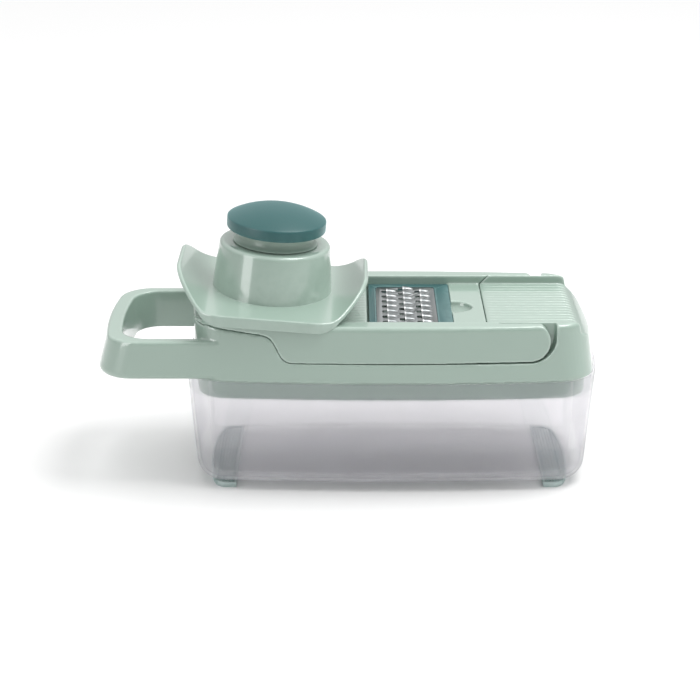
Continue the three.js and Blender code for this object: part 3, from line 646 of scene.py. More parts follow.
def rib(path, y, width=2.4, height=0.3):
    """A half-round rib along an XZ path on a bed, with ends that run out."""
    turn = np.radians(np.linspace(0, 180, 9))
    rings = []
    for i, (x, z) in enumerate(path):
        grown = math.sin(math.pi / 2 * min(1, min(i, len(path) - 1 - i) / 3 + 0.05))
        across = y + width / 2 * np.cos(turn)
        up = z - 0.25 + (height * grown + 0.25) * np.sin(turn)
        rings.append(np.column_stack([np.full(len(turn), x), across, up]))
    return loft("rib", rings)


RIB_PITCH = 5.4
RIB_COUNT = 17


def ribs(name, path):
    """All the ribs side by side along one path."""
    middle = (RIB_COUNT - 1) / 2
    bars = [rib(path, (i - middle) * RIB_PITCH) for i in range(RIB_COUNT)]
    return shade_smooth(join(name, bars), 60)


def make_base_ribs():
    level = [(x, BED) for x in np.linspace(BED_SEAM + 3, END_SLOPE_START, 12)]
    return ribs("base_ribs", level + end_slope(np.linspace(0.04, 0.25, 5)))


def make_hinge_pin(side):
    profile = [(0, 44), (3.2, 44), (3.6, 44.4), (3.6, 46.1), (2.5, 46.1), (2.5, 56.4), (1.9, 57), (0, 57)]
    pin = turned("hinge_pin_" + ("front" if side < 0 else "back"), profile, 40)
    pin.data.transform(Matrix.Rotation(-side * math.pi / 2, 4, "X"))
    pin.data.transform(Matrix.Translation((HINGE_X * MM, 0, HINGE_Z * MM)))
    return shade_smooth(pin)


# ---------------------------------------------------------------- dicing grid and press pad


def make_dicing_frame():
    frame_bar = grid_box(GRID_RIM, GRID_FOOT, DECK - GAP)
    cut(frame_bar, grid_box(0, GRID_FOOT - 2, DECK + 1))
    frame_bar.name = "grid_frame"
    return bevelled(frame_bar, 0.5)


BLADE_TOP = 96.5
BLADE_DEPTH = 7.0
BLADE_THICKNESS = 0.8


def make_long_blade(row):
    y = (row - GRID_ROWS / 2) * GRID_CELL
    half, foot = BLADE_THICKNESS / 2, BLADE_TOP - BLADE_DEPTH
    right = GRID_LEFT + GRID_COLUMNS * GRID_CELL
    low, high = (GRID_LEFT + GAP, y - half, foot), (right - GAP, y + half, BLADE_TOP)
    strip = block(f"strip_long_{row}", low, high)
    for column in range(1, GRID_COLUMNS):
        x = GRID_LEFT + column * GRID_CELL
        low, high = foot + BLADE_DEPTH / 2, BLADE_TOP + 1
        cut(strip, block("notch", (x - half - GAP, y - 2, low), (x + half + GAP, y + 2, high)))
    return bevelled(strip, 0.12, 2)


def make_cross_blade(column):
    x = GRID_LEFT + column * GRID_CELL
    half, foot = BLADE_THICKNESS / 2, BLADE_TOP - BLADE_DEPTH
    reach = GRID_ROWS * GRID_CELL / 2 - GAP
    strip = block(f"strip_cross_{column}", (x - half, -reach, foot), (x + half, reach, BLADE_TOP))
    for row in range(1, GRID_ROWS):
        y = (row - GRID_ROWS / 2) * GRID_CELL
        high = foot + BLADE_DEPTH / 2 + GAP
        cut(strip, block("notch", (x - 2, y - half - GAP, foot - 1), (x + 2, y + half + GAP, high)))
    return bevelled(strip, 0.12, 2)


def make_press_pad():
    top, foot = BED - PLATE - GAP, 95.2
    pad = grid_box(-0.6, top - 2.6, top)
    half = 4.2
    for column in range(GRID_COLUMNS):
        for row in range(GRID_ROWS):
            x = GRID_LEFT + (column + 0.5) * GRID_CELL
            y = (row + 0.5 - GRID_ROWS / 2) * GRID_CELL
            add(pad, block("stud", (x - half, y - half, foot), (x + half, y + half, top - 1)))
    pad.name = "stud_pad"
    return bevelled(pad, 0.6)


# ---------------------------------------------------------------- lid


def ramped_plate(z0, z1, right):
    """The side profile of a plate that follows the bed, level and then up the ramp."""
    left = BASE_LEFT - 5
    return [
        (left, z0 + ramp(left)),
        (RAMP_START, z0),
        (right, z0),
        (right, z1),
        (RAMP_START, z1),
        (left, z1 + ramp(left)),
    ]


def ellipsoid(centre, radii):
    profile = [(math.cos(a), math.sin(a)) for a in np.linspace(-math.pi / 2, math.pi / 2, 25)]
    profile[0], profile[-1] = (0, -1), (0, 1)
    ball = turned("ellipsoid", profile, 64)
    ball.data.transform(Matrix.Translation([c * MM for c in centre]) @ Matrix.Diagonal((*radii, 1)))
    return ball


def make_lid():
    reach = CORE + SEAM_GAP
    profile = seam(SEAM_GAP)[1:] + arc(HINGE_X, HINGE_Z, ARM_RADIUS, 272, 418, 24)
    left = BASE_LEFT - 5
    profile += [(RAMP_START, RAIL), (left, RAIL + ramp(left)), (left, 125.3)]
    sides = prism_y("sides", profile, -FAR, FAR)
    cut(sides, block("middle", (-FAR, -reach, 0), (FAR, reach, FAR)))
    inside = (RAMP_START + 5, CORE + 1.6, 0), (BED_SEAM, FAR, RAIL - PLATE)
    hollow = keep_inside(block("rail_hollow", *inside), loft_inside())
    cut(sides, mirrored_y(hollow), hollow)

    core = prism_y("bed", ramped_plate(BED - PLATE, BED, BED_SEAM), -reach, reach)
    wall = ramped_plate(BED - PLATE, RAIL, BED_SEAM + RAIL - BED)
    wall[2] = (BED_SEAM, BED - PLATE)
    wall.insert(3, (BED_SEAM, BED))
    for side in (-1, 1):
        add(core, prism_y("wall", wall, *sorted((side * CHANNEL, side * reach))))
    ledge = (INSERT_LEFT - 3, -reach, BED - LEDGE_DEPTH), (INSERT_RIGHT + 3, reach, BED)
    add(core, block("ledge", *ledge))
    length, half, depth = (radius + wall for radius, wall in zip(SCOOP, (4, 3.5, 2)))
    add(core, block("scoop_floor", (INSERT_RIGHT, -half, BED - depth), (INSERT_RIGHT + length, half, BED)))
    lid = keep_inside(add(sides, core), body_envelope())

    recess = rounded_box(INSERT_LEFT - 1.4, INSERT_RIGHT + GAP, CHANNEL, 1.5, BED - 3 - GAP, RAIL)
    window_half = CHANNEL - LEDGE
    window = (INSERT_LEFT + LEDGE, -window_half, 0), (INSERT_RIGHT - LEDGE, window_half, RAIL)
    cut(lid, recess, block("window", *window), ellipsoid((INSERT_RIGHT, 0, BED), SCOOP))
    for side in (-1, 1):
        cut(lid, rod_y("bore", HINGE_X, HINGE_Z, BORE, side * CORE, side * 57.3))
    lid.name = "lid_shell"
    return soften(lid)


def loft_inside():
    """The room within the walls of the base and the lid."""
    return loft("inside", [body_ring(RIM, PLATE), body_ring(RAIL + 12, PLATE)])


def make_lid_ribs():
    ends = (BASE_LEFT + 3, INSERT_LEFT - 3)
    steps = np.concatenate([np.linspace(ends[0], RAMP_START - 4, 8), np.linspace(RAMP_START, ends[1], 8)])
    return ribs("lid_ribs", [(x, BED + float(ramp(x))) for x in steps])


# ---------------------------------------------------------------- grater insert


def rounded_box(left, right, half, corner, z0, z1):
    plan = rounded_rectangle(left, right, half, corner, 8, 2, 2)
    return prism_z("rounded_box", plan, z0, z1)


PLATE_HALF = PLATE_HIGH[1]


def round_plate(margin, corner, z0, z1):
    """A box with the plate's outline, grown by a margin."""
    left, right = PLATE_LOW[0] - margin, PLATE_HIGH[0] + margin
    return rounded_box(left, right, PLATE_HALF + margin, corner, z0, z1)


def make_insert_frame():
    half = CHANNEL - GAP
    slab = rounded_box(INSERT_LEFT, INSERT_RIGHT, half, 1.2, BED - 3, BED)
    add(slab, round_plate(1.5, 4.5, BED - 1, BED + 0.35))
    cut(slab, round_plate(GAP, 3.3, BED - 1, BED + 2), round_plate(-3, 2, 0, BED + 2))
    slab.name = "insert_surround"
    return bevelled(slab, 0.35)


TEETH_IN_COLUMN = (7, 8, 7)
COLUMN_PITCH = 12.0
TOOTH_PITCH = 10.6
TOOTH_LENGTH = 7.6
TOOTH_HALF_WIDTH = 2.7
TOOTH_HEIGHT = 2.2
TOOTH_WALL = 0.45


def tooth_places():
    middle = (PLATE_LOW[0] + PLATE_HIGH[0]) / 2
    return [
        (middle + (column - 1) * COLUMN_PITCH, (row - (rows - 1) / 2) * TOOTH_PITCH)
        for column, rows in enumerate(TEETH_IN_COLUMN)
        for row in range(rows)
    ]


def scoop(x, y):
    """A raised thin scoop, open on the left and running out into the plate on the right."""
    turn = np.radians(np.linspace(0, 180, 17))

    def arch(t, half, height):
        along = np.full(len(turn), x + t * TOOTH_LENGTH)
        return np.column_stack([along, y + half * np.cos(turn), BED - 0.1 + height * np.sin(turn)])

    rings = []
    for t in np.linspace(0, 1, 12):
        full = math.sqrt(1 - t**1.7)
        half, height = TOOTH_HALF_WIDTH * (0.12 + 0.88 * full), TOOTH_HEIGHT * full + 0.02
        wall = TOOTH_WALL * full + 0.01
        inner = arch(t, max(half - wall, 0.02), max(height - wall, 0.005))
        rings.append(np.concatenate([arch(t, half, height), inner[::-1]]))
    return loft("scoop", rings)


def make_grater_plate():
    top, foot = BED, PLATE_LOW[2]
    plate = round_plate(0, 3, foot, top)
    for x, y in tooth_places():
        hole = rounded_rectangle(x - 5.2, x + 0.2, 2.3, 1.4, 6, 2, 2) + np.array([0, y])
        cut(plate, prism_z("hole", hole, foot - 1, top + 1))
    bevelled(plate, 0.12, 2)
    scoops = [scoop(x - 1.5, y) for x, y in tooth_places()]
    return shade_smooth(join("grater_sheet", [plate] + scoops), 45)


# ---------------------------------------------------------------- guard

SHEET = 3.0
FLAT_HALF = 42.0
GUARD_HALF_LENGTH = 64.5
GUARD_REACH = 64.8
WING_RISE = 19.0
CROWN = 2.6
GUARD_HALF_WIDTH = GUARD_HIGH[1]
LIP_DROP = 5.2
LIP_WALL = 2.0
TOWER_FOOT = 42.5
TOWER_TOP = 38.8
TOWER_HEIGHT = 38.5
TOWER_WALL = 2.4
STEM_RADIUS = 25.5
GUARD_PLACE = Matrix.Translation(GUARD_AT * MM) @ Matrix.Rotation(GUARD_TILT, 4, "Y")


def in_guard(piece):
    """Moves a piece from the guard's own frame, level and centred on the tower, to its place."""
    piece.data.transform(GUARD_PLACE)
    return piece


def guard_plan(steps=320):
    """Evenly spaced points round the guard's plan, and the outward direction at each."""
    quarter = [(GUARD_REACH, 31.0, 13), (43.5, GUARD_HALF_WIDTH, 13)]
    loop = quarter + [(-x, y, r) for x, y, r in reversed(quarter)]
    loop += [(-x, -y, r) for x, y, r in quarter] + [(x, -y, r) for x, y, r in reversed(quarter)]
    fine = []
    for i, (x, y, radius) in enumerate(loop):
        before, after = loop[i - 1][:2], loop[(i + 1) % len(loop)][:2]
        fine += turned_corner(before, (x, y), after, radius, 12)
    closed = np.array(fine + fine[:1])
    lengths = np.concatenate([[0], np.cumsum(np.linalg.norm(np.diff(closed, axis=0), axis=1))])
    at = np.linspace(0, lengths[-1], steps, endpoint=False)
    points = np.column_stack([np.interp(at, lengths, closed[:, i]) for i in range(2)])
    along = np.roll(points, -1, axis=0) - np.roll(points, 1, axis=0)
    out = np.column_stack([along[:, 1], -along[:, 0]])
    out /= np.linalg.norm(out, axis=1)[:, None]
    return points, out


def guard_height(points):
    """Height of the sheet's top: crowned across, and curving up into the wings."""
    x, y = np.abs(points[:, 0]), points[:, 1]
    wing = np.clip((x - FLAT_HALF) / (GUARD_HALF_LENGTH - FLAT_HALF), 0, None)
    return SHEET + CROWN * (1 - (y / GUARD_HALF_WIDTH) ** 2) + WING_RISE * wing**1.65


def guard_surface(points):
    """Points on the sheet's top and the normal at each."""
    step = 0.05
    height = guard_height(points)
    dx = (guard_height(points + [step, 0]) - guard_height(points - [step, 0])) / (2 * step)
    dy = (guard_height(points + [0, step]) - guard_height(points - [0, step])) / (2 * step)
    normal = np.column_stack([-dx, -dy, np.ones(len(points))])
    normal /= np.linalg.norm(normal, axis=1)[:, None]
    return np.column_stack([points, height]), normal


def make_guard_sheet():
    plan, out = guard_plan()
    edge, foot_edge = 1.4, 0.9
    rim_plan = plan - out * edge
    turn = np.arctan2(rim_plan[:, 1], rim_plan[:, 0])
    hole = (TOWER_FOOT - 1) * np.column_stack([np.cos(turn), np.sin(turn)])
    rings = []
    for t in np.linspace(0, 1, 34):
        rings.append(guard_surface(hole * (1 - t) + rim_plan * t)[0])
    rim, normal = guard_surface(rim_plan)
    slope = -(normal[:, 0] * out[:, 0] + normal[:, 1] * out[:, 1]) / normal[:, 2]
    outward = np.column_stack([out, slope])
    outward /= np.linalg.norm(outward, axis=1)[:, None]
    on_side = np.clip((GUARD_HALF_WIDTH + 1 - np.abs(plan[:, 1])) / 9, 0, 1)
    lip = LIP_DROP * (0.5 + 0.5 * np.cos(math.pi * on_side))
    depth = (SHEET + lip)[:, None]
    for angle in np.radians(np.linspace(10, 90, 7)):
        rings.append(rim + outward * edge * math.sin(angle) + normal * edge * (math.cos(angle) - 1))
    for angle in np.radians(np.linspace(0, 90, 6)):
        reach, down = edge - foot_edge * (1 - math.cos(angle)), depth - foot_edge * (1 - math.sin(angle))
        rings.append(rim + outward * reach - normal * down)
    rings.append(rim + outward * (edge - LIP_WALL) - normal * depth)
    rings.append(rim + outward * (edge - LIP_WALL - 0.3) - normal * SHEET)
    for t in np.linspace(0.97, 0, 20):
        top, facing = guard_surface(hole * (1 - t) + (rim_plan - out * LIP_WALL) * t)
        rings.append(top - facing * SHEET)
    return in_guard(shade_smooth(loft("guard_sheet", rings, washer=True), 50))


def make_tower():
    """The round tower over the pronged plate, with a dished top and a rounded rim."""
    inside = TOWER_FOOT - TOWER_WALL
    rim = arc(TOWER_TOP - 3, TOWER_HEIGHT - 3, 3, 3, 90, 10)
    profile = [(TOWER_FOOT, 0.6), (TOWER_FOOT - 0.1, 2)] + rim
    profile += [(TOWER_TOP - 5, TOWER_HEIGHT - 0.1), (STEM_RADIUS + 5, TOWER_HEIGHT - 0.4)]
    profile += [(STEM_RADIUS + 1.2, TOWER_HEIGHT - 0.5), (STEM_RADIUS + 0.8, TOWER_HEIGHT - 0.9)]
    profile += [(STEM_RADIUS + 0.8, TOWER_HEIGHT - 3.6), (TOWER_TOP - TOWER_WALL - 1, TOWER_HEIGHT - 3.4)]
    profile += [(TOWER_TOP - TOWER_WALL, TOWER_HEIGHT - 4.4), (inside, 0.6)]
    return in_guard(shade_smooth(turned("tower", profile, 160)))


# ---------------------------------------------------------------- pusher

KNOB_BAND = 8.0
KNOB_DOME = 9.0
KNOB_WALL = 2.6
PRONG_Z = 8.0
PRONG_PLATE = 3.0


def make_stem():
    """The neck, with faint turned rings, a collar that rests on the tower and a floor for the screw."""
    top = KNOB_FOOT + KNOB_BAND - KNOB_WALL - GAP
    collar = TOWER_HEIGHT + GAP
    floor = PRONG_Z + PRONG_PLATE + GAP
    radius = STEM_RADIUS
    rings = [(radius - 0.12 * (i % 2), collar + 3.3 + 0.7 * i) for i in range(1, 11)]
    profile = [(3, floor), (radius - 0.5, floor), (radius, floor + 0.5), (radius, collar - 0.2)]
    profile += [(29.4, collar - 0.2), (29.5, collar), (28.2, collar + 0.4), (27.1, collar + 1)]
    profile += [(26.3, collar + 1.9), (25.8, collar + 2.8)] + rings
    profile += [(radius, top), (radius - 2.2, top), (radius - 2.2, floor + 2.5), (3, floor + 2.5)]
    return in_guard(shade_smooth(turned("stem", profile, 128), 50))


def make_knob():
    band_top = KNOB_FOOT + KNOB_BAND
    ceiling = band_top - KNOB_WALL
    dome = (KNOB_RADIUS**2 + KNOB_DOME**2) / (2 * KNOB_DOME)
    cap = [
        (KNOB_RADIUS * t, band_top + KNOB_DOME - dome + math.sqrt(dome**2 - (KNOB_RADIUS * t) ** 2))
        for t in np.linspace(0.955, 0, 22)
    ]
    profile = [(0, ceiling), (KNOB_RADIUS - KNOB_WALL - 1, ceiling), (KNOB_RADIUS - KNOB_WALL, ceiling - 1)]
    profile += [(KNOB_RADIUS - KNOB_WALL, KNOB_FOOT + 0.5), (KNOB_RADIUS - KNOB_WALL + 0.5, KNOB_FOOT)]
    profile += arc(KNOB_RADIUS - 1.6, KNOB_FOOT + 1.6, 1.6, -90, 0, 6)
    profile += arc(KNOB_RADIUS - 1.4, band_top - 0.9, 1.4, 0, 60, 7) + cap
    knob = turned("knob", profile, 160)
    inside = STEM_RADIUS + GAP
    outside, low, high = inside + 1.8, ceiling - 5, ceiling + 1
    add(knob, turned("socket", [(inside, low), (outside, low), (outside, high), (inside, high)], 160))
    return in_guard(shade_smooth(knob))


def make_prong_plate():
    radius, bore, edge = 34.6, 2.4, 0.6
    top = PRONG_Z + PRONG_PLATE
    profile = [(bore, PRONG_Z), (radius - edge, PRONG_Z), (radius, PRONG_Z + edge), (radius, top - edge)]
    profile += [(radius - edge, top), (bore, top)]
    tip, root = PRONG_Z - 9, PRONG_Z + 0.5
    prong_profile = [(0, tip), (0.3, tip + 0.1), (0.5, tip + 0.5), (1.6, root), (0, root)]
    pieces = [turned("plate", profile, 96)]
    for count, ring_radius in ((6, 13.0), (12, 27.0)):
        for i in range(count):
            angle = 2 * math.pi * i / count
            place = Vector((math.cos(angle), math.sin(angle), 0)) * ring_radius * MM
            prong = turned("prong", prong_profile, 16)
            prong.data.transform(Matrix.Translation(place))
            pieces.append(prong)
    return in_guard(shade_smooth(join("prongs", pieces), 50))


def make_screw():
    top = PRONG_Z - GAP
    profile = [(0, top - 2.4), (2.6, top - 2.4), (3.6, top - 2.2), (4.2, top - 1.4), (4.2, top), (2, top)]
    profile += [(2, PRONG_Z + 9), (1.4, PRONG_Z + 10), (0, PRONG_Z + 10)]
    screw = turned("screw", profile, 40)
    for size in ((2.2, 0.35), (0.35, 2.2)):
        cut(screw, block("slot", (-size[0], -size[1], top - 3), (size[0], size[1], top - 1.2)))
    return in_guard(shade_smooth(screw))


# ---------------------------------------------------------------- foot pads


PAD_TOP = 3.7
PAD_BED = 2.4
PAD_RIM = 1.4
PAD_RIBS = 6


def make_foot_pad(name, side):
    """A D-shaped pad with a raised rim and ribs on its bed."""
    low, high = cad_box(name)
    edge = high[0] if side < 0 else low[0]
    length, half = high[0] - low[0], high[1]

    def plan(inset):
        start, radius = edge + side * inset, 6 - inset / 2
        across = np.linspace(-half + inset, half - inset, 41)
        arch = 1 - np.abs(across / (half - inset)) ** 8
        bow = 5 * (across / half) ** 2
        x = start + side * (length - 2 * inset - bow - radius + radius * arch**0.5)
        return np.vstack([[start, -half + inset], np.column_stack([x, across]), [start, half - inset]])

    pad = prism_z(name + "_pad", plan(0), 0, PAD_BED)
    rim = prism_z("rim", plan(0), PAD_BED - 0.4, PAD_TOP)
    add(pad, cut(rim, prism_z("rim_inside", plan(PAD_RIM), 1, PAD_TOP + 1)))
    for i in range(PAD_RIBS):
        x = edge + side * (3.4 + 2.2 * i)
        add(pad, block("rib", (x - 0.5, -half + 4, PAD_BED - 0.4), (x + 0.5, half - 4, PAD_TOP - 0.2)))
    return bevelled(pad, 0.25, 2)


# ---------------------------------------------------------------- materials


def srgb(red, green, blue):
    """A colour given by its 0 to 255 screen values, as the shader's linear one."""
    values = (c / 255 for c in (red, green, blue))
    return (*(v / 12.92 if v <= 0.04045 else ((v + 0.055) / 1.055) ** 2.4 for v in values), 1.0)


class Tree:
    """Short ways to add and link nodes."""

    def __init__(self, tree):
        self.tree = tree

    def node(self, kind, values=None, **settings):
        made = self.tree.nodes.new(kind)
        for key, value in settings.items():
            setattr(made, key, value)
        for key, value in (values or {}).items():
            self.put(made.inputs[key], value)
        return made

    def put(self, socket, value):
        if isinstance(value, bpy.types.NodeSocket):
            self.tree.links.new(value, socket)
        else:
            socket.default_value = value

    def math(self, operation, a, b=0.0):
        return self.node("ShaderNodeMath", {0: a, 1: b}, operation=operation).outputs[0]

    def place(self):
        return self.node("ShaderNodeTexCoord").outputs["Object"]

    def noise(self, vector, scale, detail):
        values = {"Vector": vector, "Scale": scale, "Detail": detail}
        return self.node("ShaderNodeTexNoise", values).outputs[0]

    def brightened(self, color, value):
        return self.node("ShaderNodeHueSaturation", {"Color": color, "Value": value}).outputs[0]

    def bump(self, height, strength, distance):
        values = {"Strength": strength, "Distance": distance, "Height": height}
        return self.node("ShaderNodeBump", values).outputs[0]

    def blend(self, factor, a, b):
        mix = self.node("ShaderNodeMix", data_type="RGBA")
        self.put(mix.inputs[0], factor)
        self.put(mix.inputs[6], a)
        self.put(mix.inputs[7], b)
        return mix.outputs[2]

    def span(self, value, low, high, to_low=0.0, to_high=1.0):
        values = {"Value": value, "From Min": low, "From Max": high, "To Min": to_low, "To Max": to_high}
        return self.node("ShaderNodeMapRange", values, clamp=True).outputs[0]


def new_group(name, inputs):
    """A finish as a node group: the group, its tree, what it is given and what it puts out."""
    group = bpy.data.node_groups.new(name, "ShaderNodeTree")
    for label, default in inputs.items():
        kind = "Float" if isinstance(default, float) else "Color"
        socket = group.interface.new_socket(label, in_out="INPUT", socket_type="NodeSocket" + kind)
        socket.default_value = default
    for label, kind in (("Color", "Color"), ("Roughness", "Float"), ("Normal", "Vector")):
        group.interface.new_socket(label, in_out="OUTPUT", socket_type="NodeSocket" + kind)
    tree = Tree(group)
    return group, tree, tree.node("NodeGroupInput").outputs, tree.node("NodeGroupOutput").inputs


def moulded_finish_and_painted_light_group():
    """Moulded plastic: cloudy colour, a painted highlight on convex edges in patches, painted shade in the
    hollows and a fine grain.
    """
    inputs = {
        "Color": (0.5, 0.5, 0.5, 1),
        "Edge Highlight Color": (0.8, 0.8, 0.8, 1),
        "Edge Highlight Amount": 0.5,
        "Clouding": 0.03,
        "Roughness": 0.35,
        "Roughness Change": 0.05,
        "Grain Scale": 1500.0,
        "Grain Depth": 0.02,
    }
    group, tree, given, out = new_group("moulded_finish_and_painted_light", inputs)
    place = tree.place()
    cloud = tree.noise(place, 14.0, 4.0)
    patch_noise = tree.noise(place, 160.0, 5.0)
    grain = tree.noise(place, given["Grain Scale"], 2.0)
    point = tree.node("ShaderNodeNewGeometry").outputs["Pointiness"]
    # Convex edges are brightened towards the edge highlight colour, in patches: a painted highlight.
    edge = tree.span(point, 0.505, 0.54)
    edge = tree.math("MULTIPLY", edge, tree.span(patch_noise, 0.35, 0.6, 0.5, 1.0))
    edge = tree.math("MULTIPLY", edge, given["Edge Highlight Amount"])
    # Hollows are blended towards a dark green: painted shade.
    hollow = tree.span(point, 0.49, 0.44, 0.0, 0.25)
    shade = tree.math("MULTIPLY", tree.math("SUBTRACT", cloud, 0.5), given["Clouding"])
    lit = tree.brightened(given["Color"], tree.math("ADD", shade, 1.0))
    colour_with_painted_shade = tree.blend(hollow, lit, (0.12, 0.16, 0.14, 1))
    tree.put(out["Color"], tree.blend(edge, colour_with_painted_shade, given["Edge Highlight Color"]))
    change = tree.math("MULTIPLY", tree.math("SUBTRACT", patch_noise, 0.5), given["Roughness Change"])
    tree.put(out["Roughness"], tree.math("ADD", given["Roughness"], change))
    tree.put(out["Normal"], tree.bump(grain, given["Grain Depth"], 0.0004))
    return group


def steel_finish_and_edge_highlight_group():
    """Rolled steel: long streaks, dull spots and fingerprints, and brighter edges, a painted highlight."""
    inputs = {
        "Color": (0.5, 0.5, 0.5, 1),
        "Edge Highlight Color": (0.9, 0.9, 0.9, 1),
        "Roughness": 0.36,
        "Streak Depth": 0.1,
    }
    group, tree, given, out = new_group("steel_finish_and_edge_highlight", inputs)
    place = tree.place()
    drawn_out = {"Vector": place, "Scale": (3000.0, 30.0, 3000.0)}
    streak = tree.noise(tree.node("ShaderNodeMapping", drawn_out).outputs[0], 1.0, 3.0)
    smear = tree.noise(place, 45.0, 4.0)
    # Convex edges are brightened towards the edge highlight colour: a painted highlight.
    edge = tree.span(tree.node("ShaderNodeNewGeometry").outputs["Pointiness"], 0.51, 0.58)
    tone = tree.brightened(given["Color"], tree.span(streak, 0.3, 0.7, 0.93, 1.07))
    tree.put(out["Color"], tree.blend(edge, tone, given["Edge Highlight Color"]))
    rough = tree.math("ADD", given["Roughness"], tree.span(smear, 0.35, 0.7, -0.04, 0.1))
    tree.put(out["Roughness"], rough)
    tree.put(out["Normal"], tree.bump(streak, given["Streak Depth"], 0.0002))
    return group


def new_material(name, group, values, constants):
    """A material that wears a finish group, with constants set on its shader."""
    material = bpy.data.materials.new(name)
    material.use_nodes = True
    tree, shader = Tree(material.node_tree), material.node_tree.nodes["Principled BSDF"]
    finish = tree.node("ShaderNodeGroup", values, node_tree=group)
    for label, source in (("Base Color", "Color"), ("Roughness", "Roughness"), ("Normal", "Normal")):
        tree.put(shader.inputs[label], finish.outputs[source])
    for label, value in constants.items():
        shader.inputs[label].default_value = value
    return material, tree, shader


def clear_plastic(group):
    """The tub's clear styrene: faintly tinted, hazy from handling, and darker where seen edge-on, a painted
    shade.
    """
    values = {"Roughness": 0.006, "Roughness Change": 0.01, "Grain Depth": 0.001}
    constants = {"Transmission Weight": 0.85, "IOR": 1.45}
    material, tree, shader = new_material("clear_tub_plastic", group, values, constants)
    haze = tree.noise(tree.place(), 30.0, 3.0)
    facing = tree.node("ShaderNodeLayerWeight", {"Blend": 0.35}).outputs["Facing"]
    rim = tree.span(facing, 0.5, 0.9)
    hazy = tree.span(haze, 0.3, 0.7, 0.27, 0.32)
    tree.put(shader.inputs["Alpha"], tree.math("ADD", hazy, tree.math("MULTIPLY", rim, 0.65)))
    # Seen edge-on the colour blends to a dark lavender: painted shade.
    tree.put(shader.inputs["Base Color"], tree.blend(rim, srgb(212, 209, 217), srgb(86, 84, 110)))
    return material


def build_materials():
    moulded, rolled = moulded_finish_and_painted_light_group(), steel_finish_and_edge_highlight_group()
    sage_edge_highlight, steel_edge_highlight = srgb(196, 212, 203), srgb(235, 236, 236)
    glossy = {"Coat Weight": 1.0, "Coat Roughness": 0.07}
    soft = {"Sheen Weight": 0.45, "Sheen Roughness": 0.4, "Sheen Tint": (0.48, 0.78, 0.8, 1.0)}
    metal = {"Metallic": 1.0}
    matt = {"Roughness": 0.42, "Grain Depth": 0.08}
    # The second colour in each row is the painted edge highlight.
    rows = [
        ("sage_plastic", moulded, srgb(149, 170, 158), sage_edge_highlight, {"Roughness": 0.3}, glossy),
        # The same sage plastic made lighter for the stem and prong plate: painted light, for the neck that
        # sits in the knob's shade.
        ("pusher_plastic", moulded, srgb(163, 185, 172), sage_edge_highlight, {"Roughness": 0.3}, {}),
        ("teal_soft_touch", moulded, srgb(20, 80, 80), srgb(102, 144, 146), matt, soft),
        ("teal_plastic", moulded, srgb(56, 96, 97), srgb(120, 152, 151), {"Roughness": 0.4}, {}),
        ("foot_silicone", moulded, srgb(160, 184, 180), srgb(215, 224, 223), {"Roughness": 0.55}, {}),
        ("blade_steel", rolled, srgb(112, 117, 118), steel_edge_highlight, {}, metal),
        ("pin_steel", rolled, srgb(160, 162, 164), steel_edge_highlight, {}, metal),
    ]
    made = {"clear_tub_plastic": clear_plastic(moulded)}
    for name, group, color, edge, values, constants in rows:
        values = {"Color": color, "Edge Highlight Color": edge, **values}
        made[name], _, _ = new_material(name, group, values, constants)
    return made


# ---------------------------------------------------------------- the whole object


def build():
    """Every piece with its body, its material and the CAD node in its place, each listed with a slot name.
    """
    made = build_materials()
    blade = ("base", "blade_steel", "blade_steel")
    pieces = [
        (make_tub(), "tub", "clear_tub", "clear_tub_plastic", "container"),
        (make_foot_pad("foot_pad_left", -1), "tub", "foot_silicone", "foot_silicone", "foot_pad_left"),
        (make_foot_pad("foot_pad_right", 1), "tub", "foot_silicone", "foot_silicone", "foot_pad_right"),
        (make_base(), "base", "sage_body", "sage_plastic", "base_frame"),
        (make_base_ribs(), "base", "sage_body", "sage_plastic"),
        (make_hinge_pin(-1), "base", "pin_steel", "pin_steel", "hinge_pin_front"),
        (make_hinge_pin(1), "base", "pin_steel", "pin_steel", "hinge_pin_back"),
        (make_dicing_frame(), "base", "teal_plastic", "teal_plastic", "dicing_frame"),
        *((make_long_blade(row), *blade, f"long_blade_{row}") for row in range(1, GRID_ROWS)),
        *((make_cross_blade(i), *blade, f"cross_blade_{i}") for i in range(1, GRID_COLUMNS)),
        (make_lid(), "lid", "sage_body", "sage_plastic", "lid_frame"),
        (make_lid_ribs(), "lid", "sage_body", "sage_plastic"),
        (make_press_pad(), "lid", "teal_plastic", "teal_plastic", "press_pad"),
        (make_insert_frame(), "insert", "teal_plastic", "teal_plastic", "insert_frame"),
        (make_grater_plate(), "insert", "blade_steel", "blade_steel", "grater_plate"),
        (make_guard_sheet(), "guard", "sage_guard", "sage_plastic", "guard_body"),
        (make_tower(), "guard", "sage_guard", "sage_plastic"),
        (make_stem(), "pusher", "pusher_plastic", "pusher_plastic", "pusher_stem"),
        (make_knob(), "pusher", "teal_soft", "teal_soft_touch", "knob_cap"),
        (make_prong_plate(), "pusher", "pusher_plastic", "pusher_plastic", "prong_plate"),
        (make_screw(), "pusher", "pin_steel", "pin_steel", "stem_screw"),
    ]
    for piece, body, slot, material, *nodes in pieces:
        finished(piece, body, slot, made[material], *nodes)


# ---------------------------------------------------------------- stage, light and camera

CAMERA_PITCH = math.radians(21.01)
CAMERA_DISTANCE = 1.28563
CAMERA_TARGET = Vector((0.00175, 0.0, 0.0844))
CAMERA_LENS = 92.57


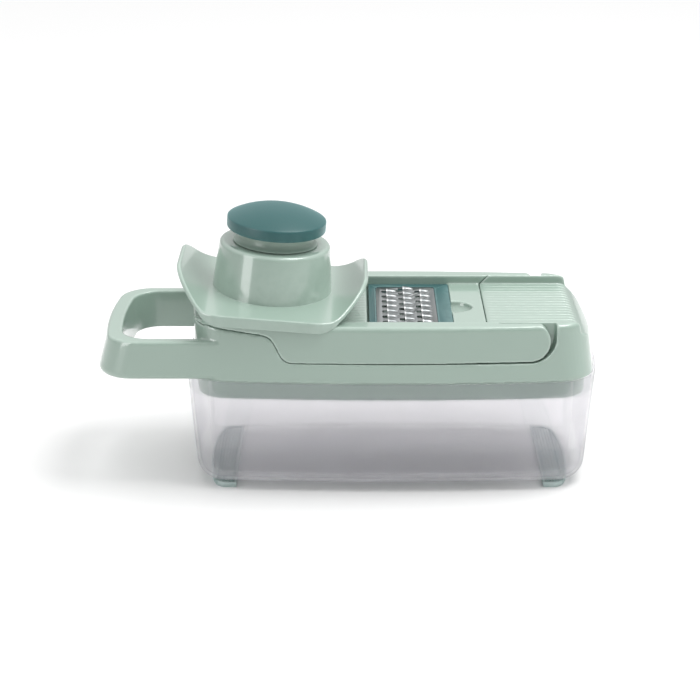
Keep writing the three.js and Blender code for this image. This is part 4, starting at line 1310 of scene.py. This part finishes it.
def set_camera():
    data = bpy.data.cameras.new("camera")
    data.lens = CAMERA_LENS
    data.sensor_width = 36.0
    data.clip_end = 20.0
    camera = in_scene("camera", data)
    back = Vector((0.0, -math.cos(CAMERA_PITCH), math.sin(CAMERA_PITCH)))
    camera.location = CAMERA_TARGET + back * CAMERA_DISTANCE
    camera.rotation_euler = (math.pi / 2 - CAMERA_PITCH, 0.0, 0.0)
    bpy.context.scene.camera = camera


def set_floor():
    mesh = bpy.data.meshes.new("floor")
    side = 6.0
    corners = [(-side, -side, 0), (side, -side, 0), (side, side, 0), (-side, side, 0)]
    mesh.from_pydata(corners, [], [(0, 1, 2, 3)])
    floor = in_scene("floor", mesh)
    material = bpy.data.materials.new("floor_paper")
    material.use_nodes = True
    shader = material.node_tree.nodes["Principled BSDF"]
    shader.inputs["Base Color"].default_value = (0.84, 0.84, 0.84, 1.0)
    shader.inputs["Roughness"].default_value = 0.9
    mesh.materials.append(material)


def add_softbox(name, location, size, power):
    data = bpy.data.lights.new(name, "AREA")
    data.shape = "RECTANGLE"
    data.size, data.size_y = size
    data.energy = power
    lamp = in_scene(name, data)
    lamp.location = location
    aim = Vector((0.0, 0.0, 0.08)) - Vector(location)
    lamp.rotation_euler = aim.to_track_quat("-Z", "Y").to_euler()
    return lamp


def set_light():
    world = bpy.data.worlds.new("studio")
    world.use_nodes = True
    tree = Tree(world.node_tree)
    background = world.node_tree.nodes["Background"]
    background.inputs["Color"].default_value = (1.0, 1.0, 1.0, 1.0)
    direction = tree.node("ShaderNodeTexCoord").outputs["Generated"]
    _, away, up = tree.node("ShaderNodeSeparateXYZ", {0: direction}).outputs
    dimmed = tree.span(away, -0.9, -0.1, 0.55, 1.0)
    strength = tree.math("MULTIPLY", tree.span(up, 0.0, 0.9, 0.4, 1.5), dimmed)
    tree.put(background.inputs["Strength"], strength)
    bpy.context.scene.world = world
    add_softbox("key_light", (0.6, -0.1, 1.4), (0.7, 0.7), 11.8)
    strip = add_softbox("strip_light", (-0.6, -0.45, 0.35), (0.28, 0.7), 2.6)
    strip.visible_diffuse = False
    bpy.context.scene.view_settings.view_transform = "Standard"


build()
set_camera()
set_floor()
set_light()
